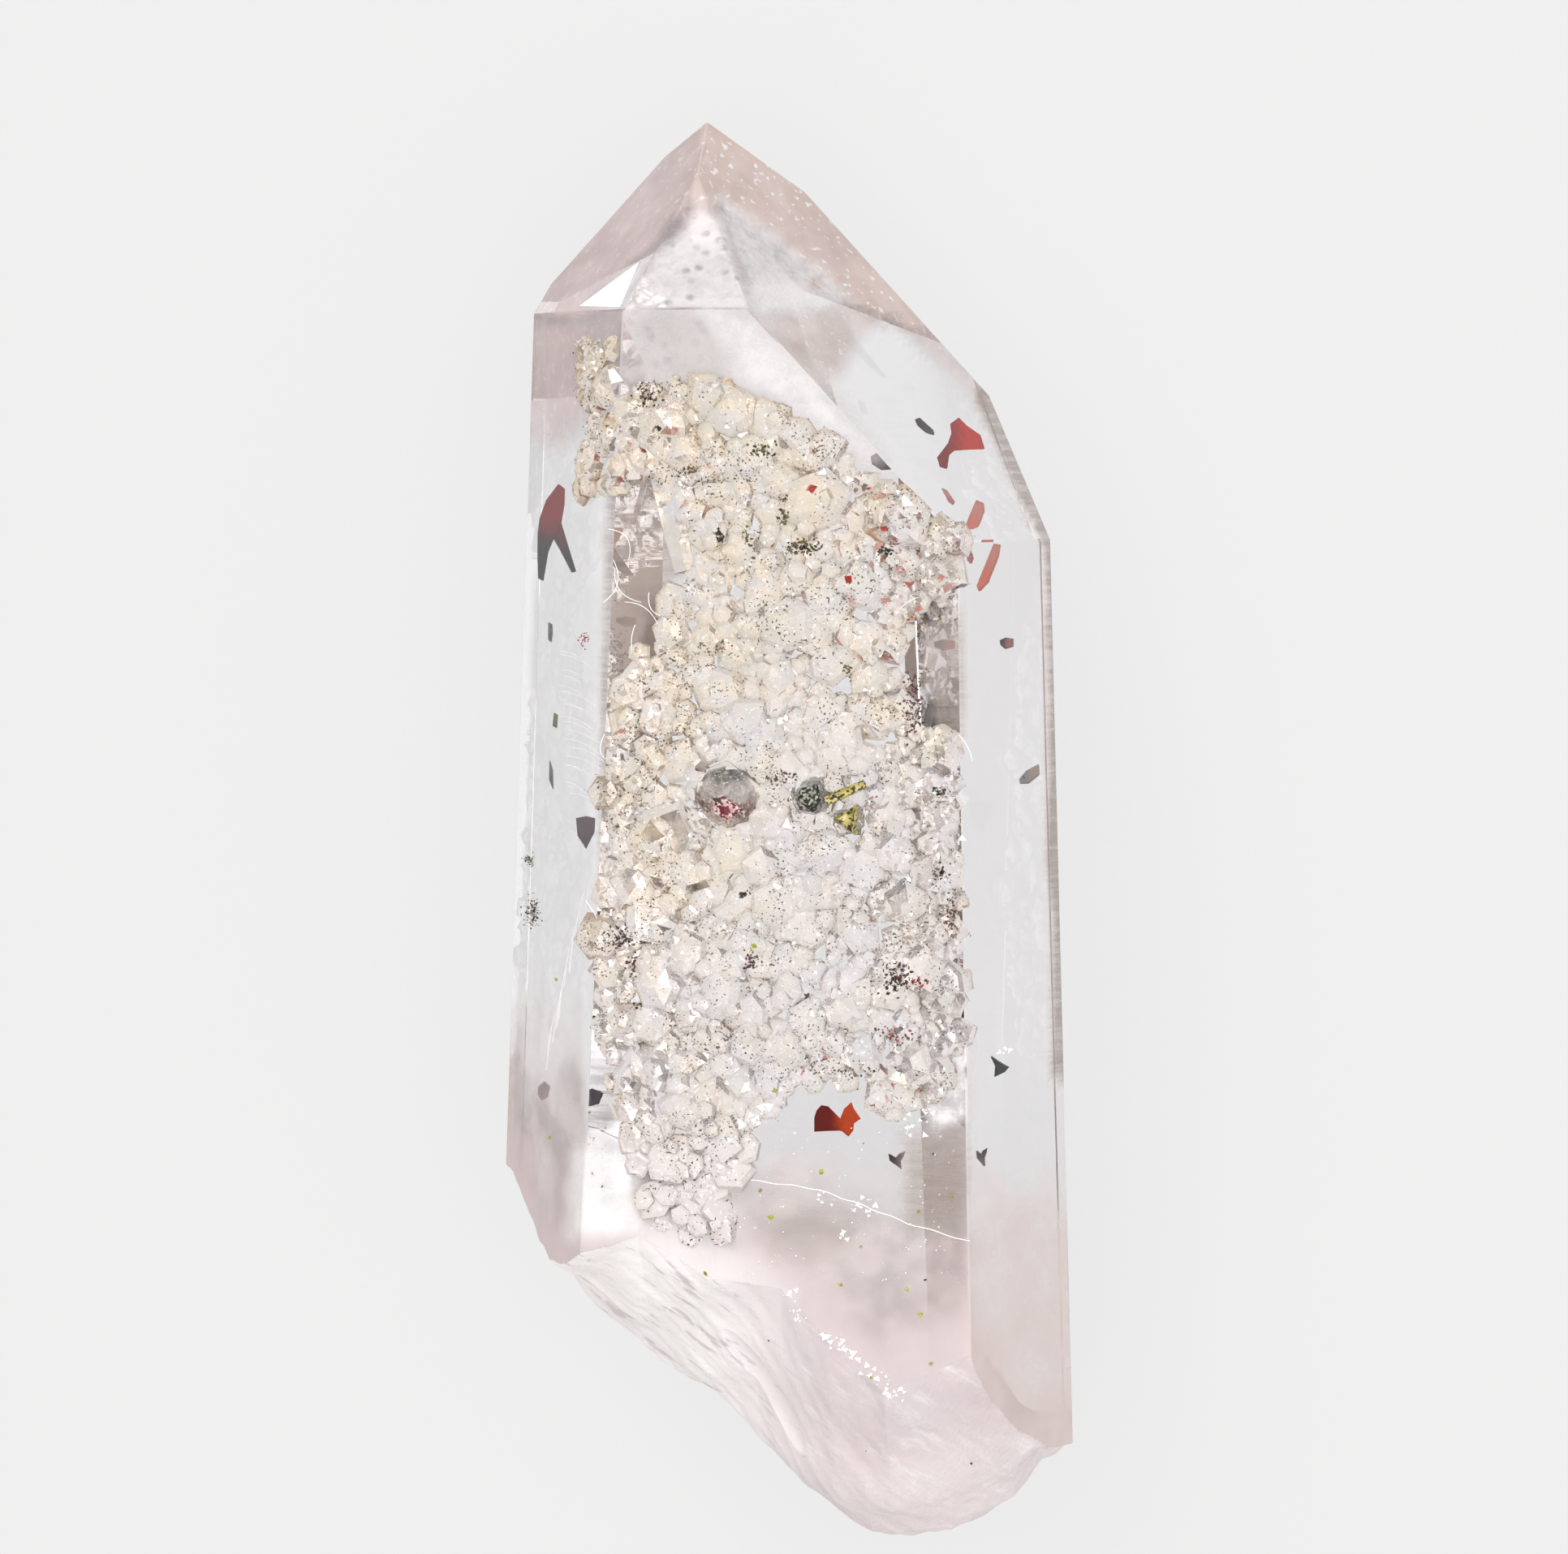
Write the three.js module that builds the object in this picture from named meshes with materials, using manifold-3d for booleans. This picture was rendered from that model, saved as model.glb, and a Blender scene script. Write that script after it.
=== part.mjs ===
// A harlequin quartz crystal: one natural quartz point, about 37 mm long, that lies on its back prism face.
// Its long axis runs along Y with the tip towards +Y, and its widest face looks up, along +Z.
// A druse of small quartz crystals is grown onto that face, and flakes of red and black iron ore are sealed inside.
// The clear crystal is parted level with the flakes, so that each flake lies in a pocket of its own.
import * as THREE from "three";
import { ConvexGeometry } from "three/addons/geometries/ConvexGeometry.js";
import { mergeVertices } from "three/addons/utils/BufferGeometryUtils.js";
import Module from "manifold-3d";

const wasm = await Module();
wasm.setup();

// Driving dimensions, in millimetres and degrees.
const FRONT_DISTANCE = 4.1; // from the crystal's long axis to the front prism face
const BACK_DISTANCE = 6.9; // from the long axis to the back prism face, on which the crystal lies
const PYRAMID_LEAN = 38.2; // how far the normal of a pyramid face leans towards the tip, the same on all quartz
const PARTING_LEVEL = 5.8; // height of the flakes above the back face
const PARTING_GAP = 0.2;
const FLAKE_THICKNESS = 0.2;
const POCKET_CLEARANCE = 0.15;
const DRUSE_SPACING = 1.02; // between neighbouring small crystals
const DRUSE_RADIUS = [0.5, 0.76];
const DRUSE_TILT = 34;
const DRUSE_ROOT = 0.45; // how deep a small crystal is sunk in the face
const RANDOM_SEED = 11;

// Each face of the point is a plane: its azimuth round the long axis, its lean towards the tip and its distance from
// one point on the axis. Azimuth 0 is the front, which looks up, and 90 is the right.
const PRISM_FACES = [
  { azimuth: 0, lean: 0, distance: FRONT_DISTANCE },
  { azimuth: 60, lean: 0.8, distance: 6.01 },
  { azimuth: 120, lean: 1.8, distance: 5.73 },
  { azimuth: 180, lean: 0, distance: BACK_DISTANCE },
  { azimuth: -120, lean: 0.8, distance: 6.92 },
  { azimuth: -60, lean: 2.3, distance: 6.12 },
];
const PYRAMID_FACES = [
  { azimuth: 0, lean: PYRAMID_LEAN, distance: 10.65 },
  { azimuth: 60, lean: PYRAMID_LEAN, distance: 8.4 },
  { azimuth: 120, lean: PYRAMID_LEAN, distance: 10.33 },
  { azimuth: 180, lean: PYRAMID_LEAN, distance: 11.35 },
  { azimuth: -120, lean: PYRAMID_LEAN, distance: 13.2 },
  { azimuth: -60, lean: PYRAMID_LEAN, distance: 11.84 },
];
const BELOW_THE_BREAK = -24; // the planes end here, well below the broken base

// The break at the base, where the crystal snapped off its matrix. It is lofted from its lowest outline, deep in the
// crystal, to its outline on the front face, both given as places across (x) and along (y).
const BREAK_LOW = [
  [-7.6, -10.3], [-6.95, -11.2], [-6.55, -12.2], [-6.2, -13.2], [-5.85, -13.9], [-4.2, -15.45], [-3.3, -16.0],
  [-2.0, -16.95], [-0.75, -18.1], [0.15, -19.15], [1.0, -19.75], [1.9, -20.15], [3.0, -20.25], [4.05, -20.1],
  [4.9, -19.7], [5.7, -19.1], [6.35, -18.2], [6.85, -18.05], [7.4, -17.8],
];
const BREAK_FRONT = [
  [-8.0, -12.6], [-5.45, -12.3], [-3.8, -11.95], [-2.0, -12.8], [-0.1, -13.3], [1.1, -14.6], [2.6, -15.8],
  [3.6, -15.4], [4.7, -14.8], [8.0, -14.6],
];
const BREAK_TURN = { front: -1.0, back: -2.0 }; // depths from the axis between which the break is lowest
const BREAK_UNDERCUT = 2.6; // how far the break has drawn back where it meets the back face
const BREAK_SWELL = { left: 1.15, right: 1.9, from: -1.0, per: 0.35 }; // how round the rise is, left and right
const BREAK_RIPPLE = { centre: [4, -4], length: 2.1, depth: 0.09 }; // shell-like rings round one place
const BREAK_STEP = 0.75;
// A long shallow scoop in the break, left of its main ridge: middle, radii, long direction and outward direction.
const SCOOP = { at: [-1.25, -16.9, 1.2], radii: [0.85, 2.5, 0.6], along: [0.3, -0.75, -0.59], out: [-0.5, -0.6, 0.62] };

// Edge of the druse on the front face, from its upper left corner clockwise.
const DRUSE_EDGE = [
  [-4.4, 8.8], [-3.7, 10.0], [-1.4, 10.0], [0.7, 9.2], [2.4, 8.1], [4.3, 6.3],
  [4.5, 4.7], [3.4, 4.4], [3.0, 2.9], [3.5, 1.3], [4.6, 0.9], [4.7, -7.5],
  [4.0, -8.1], [2.7, -8.6], [0.8, -8.6], [-0.7, -9.0], [-1.5, -10.5], [-1.4, -11.6],
  [-2.0, -12.0], [-3.6, -11.5], [-4.0, -9.5], [-4.8, -6.9], [-4.9, -3.4], [-4.6, -2.6],
  [-4.6, 0.1], [-4.1, 2.7], [-3.0, 4.5], [-2.3, 5.4], [-2.8, 7.9], [-4.3, 7.4],
];
// The druse also turns over the upper left edge: a patch there, measured down the left face and along the crystal.
const DRUSE_FLAP = { down: [0.45, 1.35, 2.0], along: [7.4, 11.0], step: 0.95 };
// The largest crystals of the druse: place on the front face and radius.
const LARGE_CRYSTALS = [
  [-2.85, 9.2, 0.72], [-1.3, 9.35, 0.74], [0.9, 7.05, 0.95], [2.9, 6.6, 0.9], [-3.15, -1.5, 0.98],
  [-1.5, -0.55, 0.92], [0.75, -0.45, 0.85], [0.1, 3.9, 0.82], [1.9, -7.7, 0.8], [3.95, -2.5, 0.78],
];
// A slim clear bar that lies along the front face above the druse.
const BAR = { from: [-3.2, 7.9], to: [-2.55, 5.2], radius: 0.33 };

// Flakes sealed inside: place of the middle on the parting level, and the outline round it.
const FLAKES = {
  hematite_blade: {
    at: [-5.66, 6.06], colour: 0x5a1018,
    outline: [
      [0.24, 1.38], [0.6, 1.25], [0.6, 0.84], [0.44, 0.35], [0.8, -0.15], [1.38, -0.95], [1.16, -0.97],
      [0.48, -0.4], [0.02, -0.05], [-0.3, -0.4], [-0.55, -1.16], [-0.82, -1.1], [-0.9, -0.5], [-0.92, 0.1],
      [-0.82, 0.5], [-0.45, 0.98],
    ],
  },
  red_star_flake: {
    at: [3.35, 7.85], colour: 0xb3281c,
    outline: [
      [0.45, 1.09], [0.68, 0.89], [1.12, 0.72], [1.1, 0.24], [0.47, 0.0], [-0.17, -0.27], [-0.51, -0.57],
      [-0.78, -1.12], [-1.02, -1.14], [-1.0, -0.8], [-0.32, -0.05], [-0.04, 0.39], [0.05, 0.75],
    ],
  },
  dark_rod: {
    at: [2.23, 8.06], colour: 0x23202a,
    outline: [[-0.28, 0.16], [-0.1, 0.27], [0.3, -0.02], [0.28, -0.18], [0.0, -0.2], [-0.25, -0.04]],
  },
  small_red_sliver: {
    at: [2.25, 5.65], colour: 0xb5483c,
    outline: [[-0.16, 0.22], [-0.01, 0.19], [0.16, -0.14], [0.08, -0.26], [-0.06, -0.2]],
  },
  red_streak: {
    at: [3.11, 5.3], colour: 0xc0564a,
    outline: [[0.24, 0.6], [0.5, 0.58], [0.42, 0.27], [-0.05, -0.42], [-0.42, -0.64], [-0.52, -0.5], [-0.12, 0.08]],
  },
  red_twin_flake: {
    at: [1.02, -9.15], colour: 0x8a1a12,
    outline: [
      [-0.36, 0.37], [-0.18, 0.34], [0.14, 0.02], [0.24, 0.28], [0.43, 0.46], [0.5, 0.28], [0.68, 0.02],
      [0.5, -0.1], [0.48, -0.3], [0.36, -0.44], [0.2, -0.32], [0.12, -0.3], [-0.2, -0.31], [-0.54, -0.33],
      [-0.54, 0.05], [-0.48, 0.24],
    ],
  },
  black_star_flake: {
    at: [2.67, -10.17], colour: 0x1d1c22,
    outline: [
      [-0.24, 0.14], [-0.05, 0.03], [0.04, 0.14], [0.2, 0.2], [0.15, 0.05], [0.08, -0.06], [0.1, -0.27],
      [-0.08, -0.14], [-0.21, -0.05],
    ],
  },
  purple_kite_flake: {
    at: [-3.33, -1.67], colour: 0x4a2540,
    outline: [[-0.56, 0.27], [-0.01, 0.31], [0.51, 0.26], [0.49, -0.1], [0.04, -0.53], [-0.44, -0.21]],
  },
  two_tone_bar: {
    at: [3.88, 3.31], colour: 0x5b3f44,
    outline: [[-0.28, 0.07], [-0.03, 0.14], [0.28, 0.11], [0.28, -0.1], [-0.03, -0.16], [-0.24, -0.06]],
  },
  smoky_flake: {
    at: [4.85, -0.19], colour: 0x6d6368,
    outline: [[-0.41, -0.07], [-0.11, 0.14], [0.42, 0.31], [0.44, 0.03], [-0.04, -0.2], [-0.37, -0.2]],
  },
  black_chip: {
    at: [3.44, -7.82], colour: 0x1c2029,
    outline: [[-0.34, 0.27], [-0.04, 0.14], [0.43, -0.02], [0.25, -0.15], [-0.18, -0.27], [-0.14, 0.02]],
  },
  blurred_dark_flake: {
    at: [-5.45, -8.63], colour: 0x4b4250,
    outline: [[-0.3, 0.1], [0.05, 0.24], [0.36, 0.12], [0.24, -0.16], [-0.1, -0.26], [-0.32, -0.12]],
  },
  upper_grey_needle: {
    at: [-5.7, 3.53], colour: 0x585a5e,
    outline: [[-0.12, 0.26], [0.08, 0.22], [0.13, -0.02], [0.06, -0.26], [-0.1, -0.2]],
  },
  olive_needle: {
    at: [-5.29, 1.19], colour: 0x5f5c3c,
    outline: [[-0.06, 0.2], [0.14, 0.15], [0.1, -0.2], [-0.12, -0.15]],
  },
  lower_grey_needle: {
    at: [-5.44, -0.25], colour: 0x585a5e,
    outline: [[-0.11, 0.38], [0.07, 0.13], [0.12, -0.37], [-0.1, -0.13]],
  },
};

const FRONT_LEVEL = BACK_DISTANCE + FRONT_DISTANCE; // height of the front face above the back one
const radians = THREE.MathUtils.degToRad;
const clamp = THREE.MathUtils.clamp;

// A seeded random number from 0 to 1, so that the druse is the same each time.
let randomState = RANDOM_SEED;
function random() {
  randomState = (randomState + 0x6d2b79f5) | 0;
  let t = Math.imul(randomState ^ (randomState >>> 15), 1 | randomState);
  t = (t + Math.imul(t ^ (t >>> 7), 61 | t)) ^ t;
  return ((t ^ (t >>> 14)) >>> 0) / 4294967296;
}

function between(low, high) {
  return low + (high - low) * random();
}

// The solid that a closed geometry encloses.
function solidOf(geometry) {
  const bare = geometry.clone();
  bare.deleteAttribute("normal");
  bare.deleteAttribute("uv");
  const merged = mergeVertices(bare, 1e-4);
  return new wasm.Manifold(
    new wasm.Mesh({
      numProp: 3,
      vertProperties: merged.attributes.position.array,
      triVerts: new Uint32Array(merged.index.array),
    }),
  );
}

// A named mesh that shows a solid.
function meshOf(name, solid, material) {
  const { vertProperties, triVerts } = solid.getMesh();
  const geometry = new THREE.BufferGeometry();
  geometry.setAttribute("position", new THREE.BufferAttribute(vertProperties, 3));
  geometry.setIndex(new THREE.BufferAttribute(triVerts, 1));
  geometry.computeVertexNormals();
  const mesh = new THREE.Mesh(geometry, material);
  mesh.name = name;
  return mesh;
}

// The plane of a face, as its outward normal and its distance from the point on the axis.
function planeOf({ azimuth, lean, distance }) {
  const a = radians(azimuth);
  const t = radians(lean);
  const normal = new THREE.Vector3(Math.sin(a) * Math.cos(t), Math.sin(t), Math.cos(a) * Math.cos(t));
  return { normal, distance };
}

// The place where three planes meet, or null where two of them are parallel.
function meeting(a, b, c) {
  const crossBC = new THREE.Vector3().crossVectors(b.normal, c.normal);
  const determinant = a.normal.dot(crossBC);
  if (Math.abs(determinant) < 1e-6) return null;
  const crossCA = new THREE.Vector3().crossVectors(c.normal, a.normal);
  const crossAB = new THREE.Vector3().crossVectors(a.normal, b.normal);
  return crossBC
    .multiplyScalar(a.distance)
    .addScaledVector(crossCA, b.distance)
    .addScaledVector(crossAB, c.distance)
    .divideScalar(determinant);
}

// The convex body that a set of faces encloses: its corners are the meetings that lie behind every face.
function bodyWithin(planes) {
  const corners = [];
  planes.forEach((a, i) =>
    planes.slice(i + 1).forEach((b, j) =>
      planes.slice(i + j + 2).forEach((c) => {
        const corner = meeting(a, b, c);
        if (!corner) return;
        if (planes.some((p) => p.normal.dot(corner) > p.distance + 1e-6)) return;
        if (corners.some((other) => other.distanceTo(corner) < 1e-3)) return;
        corners.push(corner);
      }),
    ),
  );
  return solidOf(new ConvexGeometry(corners).translate(0, 0, BACK_DISTANCE));
}

// The height of an outline at x, straight between its points.
function heightOn(outline, x) {
  const last = outline.length - 1;
  if (x <= outline[0][0]) return outline[0][1];
  if (x >= outline[last][0]) return outline[last][1];
  const i = outline.findIndex(([px]) => px > x);
  const [[ax, ay], [bx, by]] = [outline[i - 1], outline[i]];
  return ay + ((by - ay) * (x - ax)) / (bx - ax);
}

// Height of the break along Y at a place across the crystal and at a depth from its axis.
function breakHeight(x, z) {
  const low = heightOn(BREAK_LOW, x);
  const front = heightOn(BREAK_FRONT, x);
  const { left, right, from, per } = BREAK_SWELL;
  const swell = clamp(left + per * (x - from), left, right);
  const rise = clamp((z - BREAK_TURN.front) / (FRONT_DISTANCE - BREAK_TURN.front), 0, 1) ** swell;
  const drawn = Math.max((BREAK_TURN.back - z) / (BREAK_TURN.back + BACK_DISTANCE), 0) ** 2;
  const { centre, length, depth } = BREAK_RIPPLE;
  const ring = depth * Math.sin((2 * Math.PI * Math.hypot(x - centre[0], z - centre[1])) / length);
  return low + (front - low) * rise + BREAK_UNDERCUT * drawn + ring;
}

// The rock that is missing below the break: a block whose top is the break.
function missingBase() {
  const [left, right, back, front] = [-9.1, 9.1, -8.4, 5.6];
  const columns = Math.round((right - left) / BREAK_STEP);
  const rows = Math.round((front - back) / BREAK_STEP);
  const block = new THREE.BoxGeometry(right - left, 1, front - back, columns, 1, rows);
  const places = block.attributes.position;
  for (let i = 0; i < places.count; i++) {
    const x = places.getX(i);
    const z = places.getZ(i);
    places.setY(i, places.getY(i) > 0 ? breakHeight(x, z) : 2 * BELOW_THE_BREAK);
  }
  return solidOf(block.translate(0, 0, BACK_DISTANCE));
}

// The body of the scoop, a long ellipsoid that lies in the break.
function scoop() {
  const out = new THREE.Vector3(...SCOOP.out).normalize();
  const across = new THREE.Vector3(...SCOOP.along).cross(out).normalize();
  const along = new THREE.Vector3().crossVectors(out, across);
  const body = new THREE.IcosahedronGeometry(1, 3).scale(...SCOOP.radii);
  body.applyMatrix4(new THREE.Matrix4().makeBasis(across, along, out));
  const [x, y, z] = SCOOP.at;
  return solidOf(body.translate(x, y, z + BACK_DISTANCE));
}

// One small six-sided crystal with a low pyramid, standing on the origin and sunk below it.
function smallCrystal(radius, height) {
  const profile = [
    new THREE.Vector2(0, -DRUSE_ROOT),
    new THREE.Vector2(radius * 0.86, -DRUSE_ROOT),
    new THREE.Vector2(radius, height * 0.45),
    new THREE.Vector2(0, height),
  ];
  return new THREE.LatheGeometry(profile, 6).rotateX(Math.PI / 2);
}

// Puts a small crystal at a place on a face, turned and tilted at random, with one side a little longer.
function plant(place, normal, radius) {
  const crystal = smallCrystal(radius, radius * between(0.7, 1.15));
  crystal.scale(1, between(0.8, 1.2), 1);
  crystal.rotateZ(between(0, Math.PI));
  const tilt = radians(between(4, DRUSE_TILT));
  const towards = between(0, 2 * Math.PI);
  const lean = new THREE.Vector3(Math.cos(towards), Math.sin(towards), 0);
  const turn = new THREE.Quaternion().setFromAxisAngle(lean, tilt);
  const stand = new THREE.Quaternion().setFromUnitVectors(new THREE.Vector3(0, 0, 1), normal);
  crystal.applyQuaternion(turn).applyQuaternion(stand);
  return crystal.translate(place.x, place.y, place.z);
}

function insideOutline([x, y], outline) {
  let inside = false;
  outline.forEach(([ax, ay], i) => {
    const [bx, by] = outline[(i + 1) % outline.length];
    if (ay > y !== by > y && x < ((bx - ax) * (y - ay)) / (by - ay) + ax) inside = !inside;
  });
  return inside;
}

// Places of the small crystals on the front face: rows of staggered places, each pushed aside a little, that lie
// inside the druse's edge and clear of the large crystals.
function drusePlaces() {
  const places = [];
  const rowStep = DRUSE_SPACING * 0.87;
  for (let row = 0; row * rowStep < 24; row++) {
    for (let column = 0; column * DRUSE_SPACING < 11; column++) {
      const push = DRUSE_SPACING * 0.3;
      const x = -5.2 + (column + 0.5 * (row % 2)) * DRUSE_SPACING + between(-push, push);
      const y = -12.4 + row * rowStep + between(-push, push);
      const crowded = LARGE_CRYSTALS.some(([lx, ly, r]) => Math.hypot(x - lx, y - ly) < r * 0.95);
      if (insideOutline([x, y], DRUSE_EDGE) && !crowded) places.push([x, y]);
    }
  }
  return places;
}

function druse() {
  const front = new THREE.Vector3(0, 0, 1);
  const crystals = [];
  for (const [x, y, radius] of LARGE_CRYSTALS) {
    crystals.push(plant(new THREE.Vector3(x, y, FRONT_LEVEL), front, radius));
  }
  for (const [x, y] of drusePlaces()) {
    crystals.push(plant(new THREE.Vector3(x, y, FRONT_LEVEL), front, between(...DRUSE_RADIUS)));
  }
  const left = planeOf(PRISM_FACES[5]);
  const downLeft = new THREE.Vector3(-Math.cos(radians(60)), 0, -Math.sin(radians(60)));
  for (let y = DRUSE_FLAP.along[0]; y < DRUSE_FLAP.along[1]; y += DRUSE_FLAP.step) {
    const corner = meeting(planeOf(PRISM_FACES[0]), left, { normal: new THREE.Vector3(0, 1, 0), distance: y });
    for (const down of DRUSE_FLAP.down) {
      const place = corner.clone().addScaledVector(downLeft, down + between(-0.2, 0.2));
      place.y += between(-0.3, 0.3);
      crystals.push(plant(place.setZ(place.z + BACK_DISTANCE), left.normal, between(0.36, 0.52)));
    }
  }
  return crystals;
}

// The clear bar: a slim six-sided rod half sunk in the front face.
function bar() {
  const from = new THREE.Vector3(...BAR.from, FRONT_LEVEL);
  const to = new THREE.Vector3(...BAR.to, FRONT_LEVEL);
  const length = from.distanceTo(to);
  const rod = new THREE.CylinderGeometry(BAR.radius * 0.8, BAR.radius, length, 6);
  rod.rotateZ(Math.atan2(to.y - from.y, to.x - from.x) + Math.PI / 2);
  const middle = from.add(to).multiplyScalar(0.5);
  return rod.translate(middle.x, middle.y, middle.z);
}

// A flake: its outline as a thin plate with a chamfered rim, level with the parting.
function flake({ at, outline }) {
  const rim = 0.03;
  const shape = new THREE.Shape(outline.map(([x, y]) => new THREE.Vector2(x, y)));
  const plate = new THREE.ExtrudeGeometry(shape, {
    depth: FLAKE_THICKNESS - 2 * rim,
    bevelThickness: rim,
    bevelSize: rim,
    bevelOffset: -rim,
    bevelSegments: 1,
  });
  return plate.translate(at[0], at[1], PARTING_LEVEL - FLAKE_THICKNESS / 2 + rim);
}

// The pocket of a flake: the smallest convex plate round it, grown by the clearance on all sides.
function pocket({ at, outline }) {
  const half = FLAKE_THICKNESS / 2 + POCKET_CLEARANCE;
  const corners = outline.flatMap(([x, y]) => {
    const grow = 1 + POCKET_CLEARANCE / Math.hypot(x, y);
    return [-half, half].map((z) => new THREE.Vector3(at[0] + x * grow, at[1] + y * grow, PARTING_LEVEL + z));
  });
  return new ConvexGeometry(corners);
}

// The largest body of a solid, which fills the gaps that crystals close off between them.
function withoutBubbles(solid) {
  return solid.decompose().reduce((a, b) => (b.volume() > a.volume() ? b : a));
}

// A block that covers everything above or below a level.
function blockFrom(low, high) {
  return solidOf(new THREE.BoxGeometry(40, 80, high - low).translate(0, 0, (low + high) / 2));
}

const floorPlane = { normal: new THREE.Vector3(0, -1, 0), distance: -BELOW_THE_BREAK };
let crystal = bodyWithin([...PRISM_FACES.map(planeOf), ...PYRAMID_FACES.map(planeOf), floorPlane]);
crystal = crystal.subtract(missingBase()).subtract(scoop());

let upper = crystal.intersect(blockFrom(PARTING_LEVEL + PARTING_GAP / 2, 2 * FRONT_LEVEL));
let lower = crystal.intersect(blockFrom(-1, PARTING_LEVEL - PARTING_GAP / 2));
for (const geometry of [...druse(), bar()]) upper = upper.add(solidOf(geometry));
upper = withoutBubbles(upper);
for (const piece of Object.values(FLAKES)) {
  const hollow = solidOf(pocket(piece));
  upper = upper.subtract(hollow);
  lower = lower.subtract(hollow);
}

const clear = new THREE.MeshStandardMaterial({ color: 0xe6dfe4, roughness: 0.12, metalness: 0 });
const group = new THREE.Group();
group.add(meshOf("quartz_druse_half", upper, clear));
group.add(meshOf("quartz_back_half", lower, clear));
for (const [name, piece] of Object.entries(FLAKES)) {
  const ore = new THREE.MeshStandardMaterial({ color: piece.colour, roughness: 0.35, metalness: 0.2 });
  group.add(meshOf(name, solidOf(flake(piece)), ore));
}

// The origin is under the middle of the crystal, on the surface that it lies on.
const box = new THREE.Box3().setFromObject(group);
const centre = box.getCenter(new THREE.Vector3());
group.position.set(-centre.x, -centre.y, -box.min.z);

export default group;
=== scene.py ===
# %% [markdown]
# # A harlequin quartz crystal
# This lesson dresses a loose quartz point, 37 mm long, that lies on its back face and is looked down on.
# Real quartz of this kind is clear with a lilac tint and breaks like glass. Its widest face carries a
# druse, a crust of small crystals, and thin red and black flakes of iron ore are sealed inside it. The
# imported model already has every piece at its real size, so the lesson starts by loading it.

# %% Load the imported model
import functools
import itertools

import bmesh
import bpy
import numpy as np
from mathutils import Matrix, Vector
from mathutils.bvhtree import BVHTree


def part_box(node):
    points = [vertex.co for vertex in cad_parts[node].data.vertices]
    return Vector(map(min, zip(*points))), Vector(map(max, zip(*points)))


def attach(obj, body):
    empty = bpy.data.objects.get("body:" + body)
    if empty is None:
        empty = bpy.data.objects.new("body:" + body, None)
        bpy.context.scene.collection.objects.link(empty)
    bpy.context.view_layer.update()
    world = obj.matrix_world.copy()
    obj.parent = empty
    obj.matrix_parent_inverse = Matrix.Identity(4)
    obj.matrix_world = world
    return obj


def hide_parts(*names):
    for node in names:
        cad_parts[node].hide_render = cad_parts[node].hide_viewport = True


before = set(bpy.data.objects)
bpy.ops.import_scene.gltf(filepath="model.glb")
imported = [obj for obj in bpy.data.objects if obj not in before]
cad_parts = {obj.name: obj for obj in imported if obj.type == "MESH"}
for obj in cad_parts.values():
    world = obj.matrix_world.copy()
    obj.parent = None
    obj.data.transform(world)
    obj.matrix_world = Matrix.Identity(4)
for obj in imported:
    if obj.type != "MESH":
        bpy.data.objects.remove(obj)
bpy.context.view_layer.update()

# %% [markdown]
# ## Two sets of axes
# A crystal is easiest to describe on its own axes: millimetres, x across, y along it towards the tip, and z
# out of the face that carries the druse, all from a point on its long axis. The frame is in metres and
# starts on the surface that the crystal lies on. One flake whose place is known on both gives the shift
# between them, so the whole lesson can work in millimetres and move each finished mesh once, at the end.

# %% The crystal's own axes
MM = 0.001
FRONT_DISTANCE = 4.1  # from the long axis to the front prism face
BACK_DISTANCE = 6.9  # from the long axis to the back prism face, which is at height 0 in the frame
TWIN_FLAKE_MIDDLE = (1.09, -9.14)  # middle of the twin flake on the crystal's own axes

twin_low, twin_high = (np.array(corner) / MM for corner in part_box("red_twin_flake"))
TO_FRAME = np.array([*((twin_low + twin_high)[:2] / 2 - TWIN_FLAKE_MIDDLE), BACK_DISTANCE])
print("the crystal's axes start at", TO_FRAME.round(3), "mm in the frame")


# %% Directions
def unit(ways):
    """Directions at length 1: each row divided by the root of the sum of its squares."""
    ways = np.asarray(ways, float)
    return ways / np.linalg.norm(ways, axis=-1, keepdims=True)


print("the direction of (3, 4):", unit([3, 4]))

# %% [markdown]
# ## The camera
# The camera looks down on the crystal from nearly straight above, a little to the right and towards the
# tip, with a long lens, as in close-up photography. Its place is worked out on the crystal's axes first,
# because the same numbers then tell which point of the crystal lies behind a pixel of the picture.

# %% Set up the camera
PHOTO_SIZE = np.array([1932, 1915])
CAMERA_DISTANCE = 170.0
CAMERA_YAW, CAMERA_PITCH = np.radians([5.5, 2.8])  # to the right and towards the tip
VIEW_WIDTH = 40.25  # what the picture spans at the front face
SENSOR_WIDTH = 36.0

to_camera = np.array([
    np.sin(CAMERA_YAW) * np.cos(CAMERA_PITCH),
    np.sin(CAMERA_PITCH),
    np.cos(CAMERA_YAW) * np.cos(CAMERA_PITCH),
])
camera_right = np.array([np.cos(CAMERA_YAW), 0, -np.sin(CAMERA_YAW)])
camera_up = np.cross(to_camera, camera_right)
front_middle = np.array([0, 0, FRONT_DISTANCE])
eye = front_middle + CAMERA_DISTANCE * to_camera

camera = bpy.data.objects.new("camera", bpy.data.cameras.new("camera"))
camera.data.lens = SENSOR_WIDTH * CAMERA_DISTANCE / VIEW_WIDTH
camera.data.sensor_width = SENSOR_WIDTH
camera.data.clip_start = 0.005
placing = np.eye(4)
placing[:3] = np.column_stack([camera_right, camera_up, to_camera, (eye + TO_FRAME) * MM])
camera.matrix_world = Matrix(placing.tolist())
bpy.context.scene.collection.objects.link(camera)
bpy.context.scene.camera = camera
print("lens", round(camera.data.lens, 1), "mm, eye at", eye.round(1))


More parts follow.
